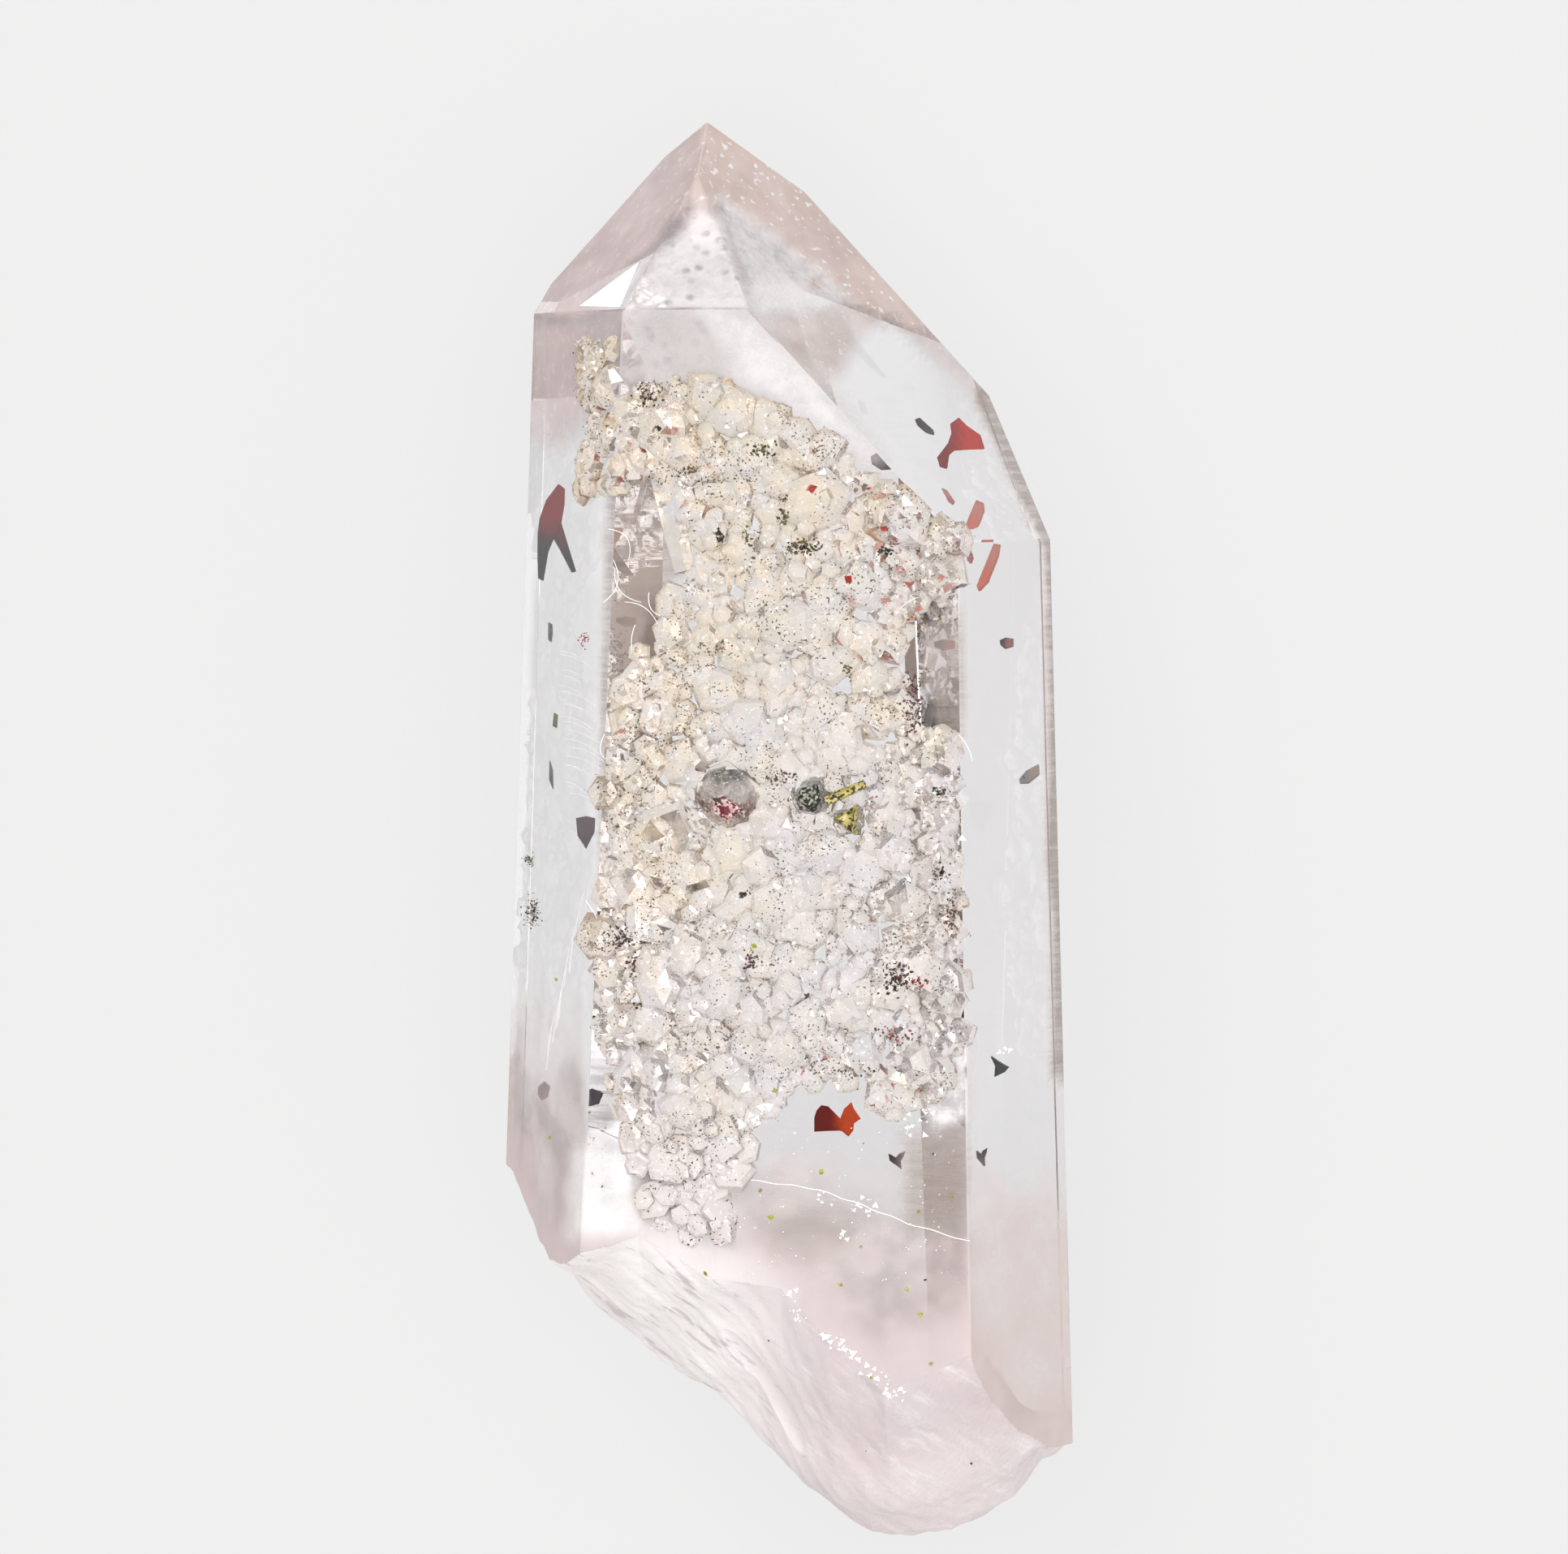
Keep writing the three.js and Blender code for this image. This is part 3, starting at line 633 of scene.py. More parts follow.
def mark(mesh, name, values, domain="FACE"):
    """Stores a number on each face or each point."""
    mesh.attributes.new(name, "FLOAT", domain).data.foreach_set("value", values.astype(np.float32))


SLACK = 0.015  # a face this far off the planes is still one of them
BREAK_ENDS = -8  # the break lies below this place along the point
face_middles = array_of(crystal.data.polygons, "center", 3)
over_planes = (face_middles @ face_normals.T - face_distances).max(axis=1)
is_druse = over_planes > SLACK
is_break = ~is_druse & (over_planes < -SLACK) & (face_middles[:, 1] < BREAK_ENDS)
mark(crystal.data, "druse", is_druse)
mark(crystal.data, "broken", is_break)
print("druse faces:", is_druse.sum(), "break faces:", is_break.sum(), "of", len(is_druse))


# %% Find the crevices
CREVICE_CELL = 0.12
CREVICE_REACH = 3  # cells on each side that count as the neighbourhood
CREVICE_DEPTH = 0.24  # this far under the neighbourhood is the bottom of a crevice
GRID_CORNER, GRID_CELLS = np.array([-8.0, -14.0]), (140, 230)


def window_sums(grid, reach):
    """Sums over a square window round each cell, as differences of running sums along each axis."""
    for _ in (0, 1):
        run = np.pad(grid, [(reach + 1, reach), (0, 0)]).cumsum(axis=0)
        grid = (run[2 * reach + 1 :] - run[: -2 * reach - 1]).T
    return grid


points = array_of(crystal.data.vertices, "co", 3)
cells = np.floor((points[:, :2] - GRID_CORNER) / CREVICE_CELL).astype(int)
on_druse = ((points @ face_normals.T - face_distances).max(axis=1) > SLACK) & np.all(cells >= 0, axis=1)
height_sums, counts = np.zeros(GRID_CELLS), np.zeros(GRID_CELLS)
cells = tuple(cells[on_druse].T)
np.add.at(height_sums, cells, points[on_druse, 2])
np.add.at(counts, cells, 1)
mean_heights = window_sums(height_sums, CREVICE_REACH) / np.maximum(window_sums(counts, CREVICE_REACH), 1)
crevice = np.zeros(len(points))
crevice[on_druse] = np.clip((mean_heights[cells] - points[on_druse, 2]) / CREVICE_DEPTH, 0, 1)
mark(crystal.data, "crevice", crevice, "POINT")
crevice_points = np.column_stack([points, crevice])[on_druse]
surface = BVHTree.FromPolygons(points.tolist(), [list(face.vertices) for face in crystal.data.polygons])
print("points on the druse:", on_druse.sum(), "in crevices:", (crevice > 0.5).sum())


# %% Move a finished mesh into the frame
def placed(thing, material):
    """Moves a mesh from the crystal's axes to the frame, gives it its finish and lets it ride on the one
    body."""
    places = array_of(thing.data.vertices, "co", 3)
    thing.data.vertices.foreach_set("co", ((places + TO_FRAME) * MM).astype(np.float32).ravel())
    thing.data.materials.clear()
    thing.data.materials.append(material)
    thing.data.update()
    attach(thing, "root")
    return thing


# %% [markdown]
# ## Thin skins on the quartz
# Dust and iron stain cling to the druse, and a break in quartz is white because its face is a mass of tiny
# steps. Neither belongs inside the glass, so each is a skin of its own: the marked faces are copied, pushed
# out by a few thousandths of a millimetre and given a thickness. The skins take light as plain matt
# surfaces do, which is what lets the small rounded shapes show, and their finish leaves them partly open.

# %% Copy marked faces as a skin
SKIN_GAP, SKIN_THICKNESS = 0.004, 0.004
CUTS = {1: (-21.0, 18.0), 0: (-7.6, 7.6)}  # where the cuts across each axis begin and end


def sliced(shell, axis, cell):
    """Cuts all faces of a shell along planes square to one axis, a cell apart."""
    way = np.eye(3)[axis]
    for place in np.arange(*CUTS[axis], cell):
        everything = [*shell.verts, *shell.edges, *shell.faces]
        bmesh.ops.bisect_plane(shell, geom=everything, plane_co=way * place, plane_no=way)


def skin_of(name, chosen, cells=()):
    """A closed skin over chosen faces of the crystal, cut into cells if their sizes are given: each point
    moves out along its normal by the gap, and Solidify adds the thickness outwards."""
    shell = bmesh.new()
    shell.from_mesh(crystal.data)
    spare = [face for face, keep in zip(shell.faces, chosen) if not keep]
    bmesh.ops.delete(shell, geom=spare, context="FACES")
    for axis, cell in cells:
        bmesh.ops.triangulate(shell, faces=shell.faces)
        sliced(shell, axis, cell)
    mesh = bpy.data.meshes.new(name)
    shell.to_mesh(mesh)
    shell.free()
    mesh.shade_flat()
    places = array_of(mesh.vertices, "co", 3) + SKIN_GAP * array_of(mesh.vertex_normals, "vector", 3)
    mesh.vertices.foreach_set("co", places.ravel())
    mesh.update()
    skin = shown(name, mesh)
    wall = skin.modifiers.new("thickness", "SOLIDIFY")
    wall.thickness = SKIN_THICKNESS * MM
    wall.offset = 1.0
    return skin


BAR_SUNK, BAR_SLACK = 0.5, (0.1, 1.2)  # length of the rod in the druse, and the room past and round it
along_bar = (face_middles - BAR_FROM) @ bar_way
off_bar = np.linalg.norm(face_middles - BAR_FROM - along_bar[:, None] * bar_way, axis=1)
is_bar = (along_bar > BAR_SUNK) & (along_bar < bar_length + BAR_SLACK[0])
is_bar &= off_bar < BAR_SLACK[1] * BAR_RADIUS
druse_stain = skin_of("druse_stain", is_druse & ~is_bar)
base_frost = skin_of("base_frost", is_break)
print("stain:", len(druse_stain.data.polygons), "faces, frost:", len(base_frost.data.polygons), "faces")

# %% Slice the grown faces
FILM_CELLS = ((1, 0.36), (0, 0.14))  # along and across, in millimetres
FILM_LOOKS_DOWN = -0.6  # faces that look further down than this get no film

face_ways = array_of(crystal.data.polygons, "normal", 3)
is_grown = ~is_druse & ~is_break & (face_ways[:, 2] > FILM_LOOKS_DOWN)
film = skin_of("film", is_grown, FILM_CELLS)
print("film:", len(film.data.polygons), "faces")

# %% [markdown]
# ## Tools for materials
# Every finish here is built from nodes. Two small classes keep that readable: one has a short word for each
# kind of node that comes up often, and one starts a material and sets its shader. All patterns read Object
# coordinates, turned into millimetres first, so that a scale of 2 means two cells in each millimetre.


# %% Helpers for nodes
def colour(red, green, blue):
    """A colour for a socket."""
    return (red, green, blue, 1.0)


class Nodes:
    """The nodes of one tree, with a short word for each kind that comes up often."""

    def __init__(self, tree):
        self.tree = tree

    def link(self, node, links):
        """Feeds a node: each socket's name or number goes with a value or with another node's socket."""
        for name, value in dict(links).items():
            if isinstance(value, bpy.types.NodeSocket):
                self.tree.links.new(value, node.inputs[name])
            else:
                node.inputs[name].default_value = value

    def add(self, kind, links=(), **fields):
        """A new node with its settings and links."""
        node = self.tree.nodes.new(kind)
        for field, value in fields.items():
            setattr(node, field, value)
        self.link(node, links)
        return node

    def mix(self, share, first, second, blend="MIX"):
        """The colour that goes from the first to the second as the share goes from 0 to 1."""
        node = self.add("ShaderNodeMix", {0: share, 6: first, 7: second}, data_type="RGBA", blend_type=blend)
        return node.outputs[2]

    def blend(self, share, first, second):
        """The number that goes from the first to the second as the share goes from 0 to 1."""
        return self.add("ShaderNodeMix", {0: share, 2: first, 3: second}).outputs[0]

    def step(self, value, low, high, to_low=0.0, to_high=1.0):
        """A value that goes smoothly from one number to another as the input crosses a range."""
        links = {"Value": value, "From Min": low, "From Max": high, "To Min": to_low, "To Max": to_high}
        return self.add("ShaderNodeMapRange", links, interpolation_type="SMOOTHSTEP").outputs[0]

    def math(self, operation, first, second):
        """The result of one sum on two values."""
        return self.add("ShaderNodeMath", {0: first, 1: second}, operation=operation).outputs[0]

    times, plus = functools.partialmethod(math, "MULTIPLY"), functools.partialmethod(math, "ADD")
    minus, over = functools.partialmethod(math, "SUBTRACT"), functools.partialmethod(math, "DIVIDE")
    larger, smaller = functools.partialmethod(math, "MAXIMUM"), functools.partialmethod(math, "MINIMUM")
    above = functools.partialmethod(math, "GREATER_THAN")

    def noise(self, place, scale, detail=2.0, roughness=0.5):
        """Noise with a scale in cells for each millimetre."""
        links = {"Vector": place, "Scale": scale, "Detail": detail, "Roughness": roughness}
        return self.add("ShaderNodeTexNoise", links).outputs["Fac"]

    def stretched(self, place, scale):
        """Places times a scale for each axis."""
        return self.add("ShaderNodeMapping", {"Vector": place, "Scale": scale}).outputs[0]

    def millimetres(self):
        """Object coordinates in millimetres."""
        return self.stretched(self.add("ShaderNodeTexCoord").outputs["Object"], (1000, 1000, 1000))

    def axes(self, place):
        """The three numbers of a place: across, along and height."""
        return self.add("ShaderNodeSeparateXYZ", {0: place}).outputs

    def along(self, place, way):
        """How far a place lies along a way: the sum of the products of their numbers."""
        node = self.add("ShaderNodeVectorMath", {0: place, 1: tuple(way)}, operation="DOT_PRODUCT")
        return node.outputs["Value"]

    def marked(self, name):
        """The number that is stored on the faces or points under a name."""
        return self.add("ShaderNodeAttribute", attribute_name=name).outputs["Fac"]

    def ramp(self, value, stops):
        """A row of colours: each stop is a position and the colour there."""
        node = self.add("ShaderNodeValToRGB", {"Fac": value})
        elements = node.color_ramp.elements
        elements.remove(elements[1])
        elements[0].position, elements[0].color = stops[0]
        for position, tone in stops[1:]:
            elements.new(position).color = tone
        return node


class Finish(Nodes):
    """A new material and the nodes that lead to its shader."""

    def __init__(self, name):
        self.material = bpy.data.materials.new(name)
        self.material.use_nodes = True
        super().__init__(self.material.node_tree)
        self.shader = self.tree.nodes["Principled BSDF"]

    def shade(self, links):
        """Feeds the shader's own sockets."""
        self.link(self.shader, links)

    def bump(self, height, strength, depth):
        """Leans the shader's normal with the slope of a height, whose full depth is in millimetres."""
        links = {"Height": height, "Strength": strength, "Distance": depth * MM}
        self.shade({"Normal": self.add("ShaderNodeBump", links).outputs[0]})


print("words for nodes:", len([word for word in dir(Finish) if not word.startswith("_")]))

# %% [markdown]
# ## A group for mottling
# Ore varies in patches with fine grain on top. One group does this for every flake and ore-stained crystal:
# it blends two colours by coarse noise, lays specks of a third over them, and gives a grain value that can
# drive roughness and bump.

# %% The mottling group
mottle = bpy.data.node_groups.new("mottle", "ShaderNodeTree")
for socket_name, socket_type, value in [
    ("Place", "NodeSocketVector", None),
    ("Patch scale", "NodeSocketFloat", 1.0),
    ("Grain scale", "NodeSocketFloat", 8.0),
    ("First", "NodeSocketColor", colour(1, 1, 1)),
    ("Second", "NodeSocketColor", colour(0.8, 0.8, 0.8)),
    ("Speck", "NodeSocketColor", colour(0.3, 0.3, 0.3)),
    ("Speck share", "NodeSocketFloat", 0.3),
]:
    socket = mottle.interface.new_socket(name=socket_name, in_out="INPUT", socket_type=socket_type)
    if value is not None:
        socket.default_value = value
for socket_name, socket_type in [("Colour", "NodeSocketColor"), ("Grain", "NodeSocketFloat")]:
    mottle.interface.new_socket(name=socket_name, in_out="OUTPUT", socket_type=socket_type)
nodes = Nodes(mottle)
given = nodes.add("NodeGroupInput").outputs
patches = nodes.step(nodes.noise(given["Place"], given["Patch scale"]), 0.35, 0.65)
grain = nodes.noise(given["Place"], given["Grain scale"], 3.0)
specks = nodes.above(grain, nodes.minus(0.85, nodes.times(given["Speck share"], 0.5)))
speckled = nodes.mix(specks, nodes.mix(patches, given["First"], given["Second"]), given["Speck"])
nodes.add("NodeGroupOutput", {"Colour": speckled, "Grain": grain})
print("mottling group:", len(nodes.tree.nodes), "nodes")

# %% [markdown]
# ## Clear quartz
# The glassy body is a plain transmission of 1 with quartz's refraction of 1.544, and a faint absorption
# gives the lilac tint where light goes a long way. The left face is tinted grey along its upper part as
# painted shade. Prism faces are smooth but for fine growth lines across them. Druse faces are a little rough
# and stained cream and brown, more so deep between the crystals, and the break is frosted.

# %% The clear quartz material
CLEAR, LEFT_PAINTED_SHADE = colour(0.985, 0.98, 0.985), colour(0.82, 0.82, 0.83)
CREAM = colour(0.85, 0.75, 0.61)
PALE = colour(0.88, 0.83, 0.825)
STAIN = colour(0.62, 0.47, 0.33)
BREAK_TINT = colour(0.96, 0.92, 0.95)
LILAC, LILAC_DENSITY = colour(0.72, 0.5, 0.66), 3.0
SHARP_ANGLE = np.radians(34)  # faces of the break that meet at more than this keep a sharp edge

nodes = Finish("clear_quartz")
place = nodes.millimetres()
druse_mark = nodes.marked("druse")
break_mark = nodes.marked("broken")
across, along_axis, height_above_floor = nodes.axes(place)

cream_share = nodes.step(nodes.noise(place, 0.7, 3.0), 0.38, 0.62)
druse_tone = nodes.mix(cream_share, PALE, CREAM)
crevice = nodes.step(height_above_floor, 11.02, 11.3, 1.0, 0.0)
stained = nodes.times(crevice, nodes.step(nodes.noise(place, 1.6, 4.0), 0.45, 0.7))
druse_colour = nodes.mix(stained, druse_tone, STAIN)
# Painted shade: the upper part of the left face is tinted grey, so that it looks darker than the right.
painted_shade_on_left = nodes.times(nodes.step(across, -5.1, -4.5, 1.0, 0.0), nodes.step(along_axis, -7.0, -2.0))
clear_colour = nodes.mix(painted_shade_on_left, CLEAR, LEFT_PAINTED_SHADE)
surface_colour = nodes.mix(druse_mark, nodes.mix(break_mark, clear_colour, BREAK_TINT), druse_colour)
nodes.shade({"Base Color": surface_colour})

druse_roughness = nodes.step(nodes.noise(place, 2.5), 0.3, 0.7, 0.04, 0.22)
break_roughness = nodes.step(nodes.noise(place, 0.6, 2.0), 0.35, 0.65, 0.28, 0.5)
body_roughness = nodes.step(nodes.noise(place, 0.5, 2.0), 0.5, 0.75, 0.0, 0.05)
roughness = nodes.blend(druse_mark, nodes.blend(break_mark, body_roughness, break_roughness), druse_roughness)
nodes.shade({"Roughness": roughness})

nodes.shader.inputs["Transmission Weight"].default_value = 1.0
nodes.shader.inputs["IOR"].default_value = QUARTZ_IOR
inside = nodes.add("ShaderNodeVolumeAbsorption", {"Color": LILAC, "Density": LILAC_DENSITY})
nodes.link(nodes.tree.nodes["Material Output"], {"Volume": inside.outputs[0]})
print("clear quartz:", len(nodes.tree.nodes), "nodes")

# %% Relief on the quartz
growth_lines = nodes.noise(nodes.stretched(place, (0.12, 7.0, 0.12)), 1.0, 2.0)
line_patches = nodes.step(nodes.noise(place, 0.35, 2.0), 0.5, 0.62)
on_prism = nodes.step(along_axis, 7.0, 9.0, 1.0, 0.0)
growth_lines = nodes.times(growth_lines, nodes.times(line_patches, on_prism))
fine_frost = nodes.noise(place, 9.0, 1.0)
druse_relief = nodes.times(nodes.noise(place, 4.0, 1.0), 0.35)
relief = nodes.plus(nodes.times(break_mark, fine_frost), nodes.times(druse_mark, druse_relief))
smooth_part = nodes.minus(nodes.minus(1.0, druse_mark), break_mark)
relief = nodes.plus(relief, nodes.times(smooth_part, nodes.times(growth_lines, 0.04)))
nodes.bump(relief, 0.5, 0.05)
placed(crystal, nodes.material)
crystal.data.set_sharp_from_angle(angle=SHARP_ANGLE)
crystal.data.polygons.foreach_set("use_smooth", is_break)  # every grown face stays truly flat
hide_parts("quartz_druse_half", "quartz_back_half")
print("quartz crystal in the frame:", [round(v * 1000, 2) for v in crystal.dimensions])

# %% [markdown]
# ## Stain on the druse
# The crust is cream above and on the left, and paler and more lilac below. It is speckled all over with
# brown and dark grains, and thin dark lines follow the joints between its crystals. All of it comes from
# noise at several sizes and from the mark that says how deep a point lies between its neighbours. Where the
# stain is thin, the glass beneath shows through by Alpha.

# %% The stain's material
STAIN_CREAM = colour(0.83, 0.68, 0.47)
STAIN_PALE = colour(0.79, 0.725, 0.715)
STAIN_BROWN = colour(0.42, 0.29, 0.18)
STAIN_DARK = colour(0.1, 0.085, 0.06)
STAIN_WHITE = colour(0.95, 0.94, 0.92)
LOW_STAIN = (-9.0, -5.5)  # places along between which the crust's low end turns pale and plain

nodes = Finish("druse_stain")
place = nodes.millimetres()
crevice_mark = nodes.marked("crevice")
across, along, _ = nodes.axes(place)
cream_side = nodes.plus(nodes.times(along, 0.06), nodes.times(across, -0.09))
cream_noise = nodes.times(nodes.noise(place, 0.55, 3.0), 2.2)
cream_share = nodes.step(nodes.plus(cream_side, cream_noise), 0.85, 1.65)
tone = nodes.mix(cream_share, STAIN_PALE, STAIN_CREAM)
flecks = nodes.step(nodes.noise(place, 11.0, 2.0), 0.6, 0.66)
tone = nodes.mix(flecks, tone, STAIN_WHITE)
brown_patch = nodes.step(nodes.noise(place, 1.1, 3.0), 0.42, 0.62)
deep = nodes.step(crevice_mark, 0.1, 0.75)
brown_share = nodes.times(deep, nodes.plus(0.2, nodes.times(brown_patch, 0.6)))
brown_share = nodes.times(brown_share, nodes.step(along, *LOW_STAIN, 0.1, 1.0))
tone = nodes.mix(brown_share, tone, STAIN_BROWN)
speck_limit = nodes.minus(0.75, nodes.times(brown_patch, 0.11))
speck_noise = nodes.noise(place, 15.0, 1.0)
specks = nodes.above(speck_noise, speck_limit)
tone = nodes.mix(specks, tone, STAIN_DARK)
nodes.shade({"Base Color": tone})
cover = nodes.step(nodes.noise(place, 1.7, 2.0), 0.34, 0.7, 0.04, 0.26)
cover = nodes.larger(cover, nodes.times(brown_share, 0.75))
cover = nodes.larger(cover, nodes.times(specks, 0.8))
cover = nodes.larger(cover, nodes.times(flecks, 0.3))
low_end = nodes.step(along, *LOW_STAIN, 0.6, 0.0)
cover = nodes.larger(cover, low_end)
nodes.shade({"Alpha": nodes.smaller(cover, 1.0), "Roughness": 0.6, "Specular IOR Level": 0.2})
nodes.bump(nodes.noise(place, 9.0, 2.0), 0.35, 0.05)
placed(druse_stain, nodes.material)
print("stain:", len(nodes.tree.nodes), "nodes")

# %% [markdown]
# ## Frost on the break
# The broken base is milky: pale lilac, whiter along the hackle lines that run away from where the break
# began. The same stretched noise that could carve those lines draws them here, and more frost covers the
# glass along them.

# %% The frost's material
FROST_LILAC = colour(0.88, 0.79, 0.8)
FROST_FRONT = colour(0.74, 0.65, 0.665)
FROST_WHITE = colour(0.97, 0.94, 0.94)
HACKLE_GREY = colour(0.6, 0.56, 0.56)

nodes = Finish("base_frost")
place = nodes.millimetres()
turned = nodes.add("ShaderNodeMapping", {"Vector": place, "Rotation": (0, 0, np.radians(38))}).outputs[0]
lines = nodes.stretched(turned, (0.5, 2.2, 1.0))
hackle_lines = nodes.step(nodes.noise(lines, 1.0, 6.0, 0.7), 0.48, 0.75)
clouds = nodes.noise(place, 0.6, 4.0)
across, _, height = nodes.axes(place)
left_side = nodes.step(across, -2.0, 1.6, 1.0, 0.0)
near_front = nodes.step(nodes.plus(height, nodes.times(clouds, 2.0)), 9.2, 11.6)
whiteness = nodes.larger(nodes.times(hackle_lines, 0.6), left_side)
tone = nodes.mix(near_front, FROST_LILAC, FROST_FRONT)
tone = nodes.mix(whiteness, tone, FROST_WHITE)
wavy = nodes.stretched(turned, (0.8, 5.0, 1.0))
grey_lines = nodes.step(nodes.noise(wavy, 1.0, 3.0, 0.6), 0.58, 0.66)
grey_lines = nodes.times(grey_lines, nodes.plus(nodes.times(left_side, 0.6), 0.12))
nodes.shade({"Base Color": nodes.mix(grey_lines, tone, HACKLE_GREY)})
cover = nodes.step(clouds, 0.3, 0.7, 0.5, 0.75)
cover = nodes.plus(cover, nodes.times(whiteness, 0.2))
nodes.shade({"Alpha": cover, "Roughness": 0.7})
placed(base_frost, nodes.material)
print("frost:", len(nodes.tree.nodes), "nodes")

# %% [markdown]
# ## The film on the grown faces
# Near its broken base the quartz turns milky, and the tip has a grey cloud and pink margins. In the stone
# these are healed cracks, full of tiny bubbles, close under the faces. They take light as if they lay on
# the faces, so they are one film there, sliced into small cells so that a mark can change from point to
# point. Each mark is drawn by outlines in the photo that have a soft edge.

# %% Marks on the film
# For each mark: an outline in pixels, how soft its edge is in pixels, and its share of bubbles.
FILM_ZONES = {
    "milk": [
        ([(878, 384), (926, 386), (1012, 474), (1075, 556), (1045, 545), (970, 500), (905, 455)], 22, 0.42),
        ([(706, 1420), (786, 1414), (796, 1490), (800, 1525), (706, 1530)], 16, 0.45),
        ([(780, 1500), (900, 1530), (965, 1590), (965, 1650), (780, 1600)], 34, 0.26),
        ([(884, 240), (985, 312), (1056, 374), (935, 384), (905, 310)], 7, 0.42),
        ([(1152, 1270), (1192, 1270), (1192, 1380), (1150, 1392), (1130, 1350)], 12, 0.62),
    ],
    "rose": [
        (
            [(880, 110), (790, 160), (650, 325), (640, 390), (760, 384), (716, 376), (800, 300), (866, 222)],
            10, 0.7,
        ),
        ([(640, 385), (757, 385), (757, 500), (640, 540)], 24, 0.6),
        (
            [
                (850, 110), (1010, 212), (1140, 362), (1140, 410), (1052, 376), (985, 318), (880, 246),
                (862, 216),
            ],
            7, 0.9,
        ),
        ([(925, 384), (1060, 374), (1088, 400), (1040, 446), (985, 470)], 16, 0.55),
        ([(1060, 300), (1140, 380), (1222, 480), (1215, 500), (1120, 410), (1060, 360)], 14, 0.5),
        ([(866, 200), (888, 300), (836, 300)], 12, 0.75),
        ([(846, 196), (890, 196), (890, 250), (846, 250)], 9, 0.85),
    ],
    "cloud": [
        ([(862, 258), (890, 270), (924, 382), (762, 380), (800, 312)], 9, 0.7),
        ([(764, 384), (880, 386), (900, 440), (960, 470), (940, 500), (764, 490)], 14, 0.62),
        ([(884, 240), (1040, 366), (930, 380)], 16, 0.14),
    ],
    # Smoky grey: a smoky spot in the base, and painted shade along the left and right silhouettes, in the
    # notch and in a patch at the lower right.
    "smoke": [
        ([(940, 1500), (1000, 1488), (1062, 1502), (1052, 1530), (960, 1545)], 26, 0.42),
        ([(1106, 1395), (1190, 1390), (1192, 1500), (1125, 1530)], 14, 0.5),
        (
            [
                (748, 560), (820, 590), (850, 700), (800, 740), (776, 820), (750, 900), (746, 1100),
                (740, 1100),
            ],
            8, 0.5,
        ),
        ([(1130, 760), (1182, 750), (1184, 905), (1150, 890)], 8, 0.36),
        ([(1212, 466), (1320, 664), (1320, 1330), (1296, 1330), (1286, 676), (1200, 492)], 8, 0.62),
    ],
}
WAVE_SCALE, WAVE_SEED = 0.5, 83  # a wave that makes the edges uneven
BORDER_WAVE, HAZE_WAVE, ZONE_WAVE = 0.6, 0.9, 0.7
BORDER_HAZE = (0.4, 2.6)  # distances from the break between which the haze thins out
# Places across the crystal, and the places along it where the haze starts and where it is full.
HAZE_ACROSS = (-5.4, -4.7, 4.6, 5.3)
HAZE_STARTS, HAZE_FULL = (-4.5, -10.2, -9.4, -9.6), (-9.5, -12.4, -12.0, -12.8)


def faded(value, low, high):
    """0 below the low value and 1 above the high one, blended by 3t^2 - 2t^3."""
    t = np.clip((value - low) / (high - low), 0, 1)
    return t * t * (3 - 2 * t)


def pixels_of(points):
    """Where the camera sees points: the camera is far away, so a scale and the depth are enough."""
    away = points - front_middle
    scale = CAMERA_DISTANCE / (CAMERA_DISTANCE - away @ to_camera) * PHOTO_SIZE[0] / VIEW_WIDTH
    return PHOTO_SIZE / 2 + np.column_stack([away @ camera_right, -(away @ camera_up)]) * scale[:, None]


def depth_within(pixels, outline):
    """How far pixels lie inside an outline, and below 0 outside it: the distance to the nearest of its
    sides."""
    side = np.roll(outline, -1, axis=0) - outline
    from_start = pixels[:, None] - outline
    t = np.clip((from_start * side).sum(axis=-1) / (side**2).sum(axis=-1), 0, 1)
    off = np.linalg.norm(from_start - t[..., None] * side, axis=-1).min(axis=1)
    return np.where(inside_outline(pixels, outline), off, -off)


points = array_of(film.data.vertices, "co", 3)
pixels = pixels_of(points)
wave = layered_noise(WAVE_SCALE * points, WAVE_SEED)
over_break = points[:, 1] - break_along(points[:, 0], points[:, 2])
mark(film.data, "border", 1 - faded(over_break + BORDER_WAVE * wave, *BORDER_HAZE), "POINT")
starts, full = (np.interp(points[:, 0], HAZE_ACROSS, places) for places in (HAZE_STARTS, HAZE_FULL))
mark(film.data, "haze", 1 - faded(points[:, 1] + HAZE_WAVE * wave, full, starts), "POINT")
for name, zones in FILM_ZONES.items():
    shares = []
    for outline, blur, share in zones:
        pushed = pixels + ZONE_WAVE * blur * wave[:, None]
        within = depth_within(pushed, np.array(outline, float))
        shares.append(share * faded(within, -blur, blur))
    strongest = np.max(shares, axis=0)
    mark(film.data, name, strongest, "POINT")
    print(name, "covers", round(100 * float((strongest > 0.1).mean())), "% of the points")

# %% The film's material
HAZE_TONES = colour(0.46, 0.39, 0.38), colour(0.63, 0.54, 0.525)
BORDER_TONE, RIGHT_TONE = colour(0.66, 0.565, 0.57), colour(0.74, 0.63, 0.61)
ROSE_LEFT, ROSE_RIGHT = colour(0.82, 0.7, 0.7), colour(0.7, 0.57, 0.52)
CLOUD_WHITE, CLOUD_SMOKE = colour(0.92, 0.91, 0.92), colour(0.6, 0.58, 0.57)
CLOUD_GREY = colour(0.42, 0.42, 0.44)
MILK_WHITE, SMOKE_AND_PAINTED_SHADE_GREY = colour(0.92, 0.91, 0.91), colour(0.4, 0.34, 0.31)

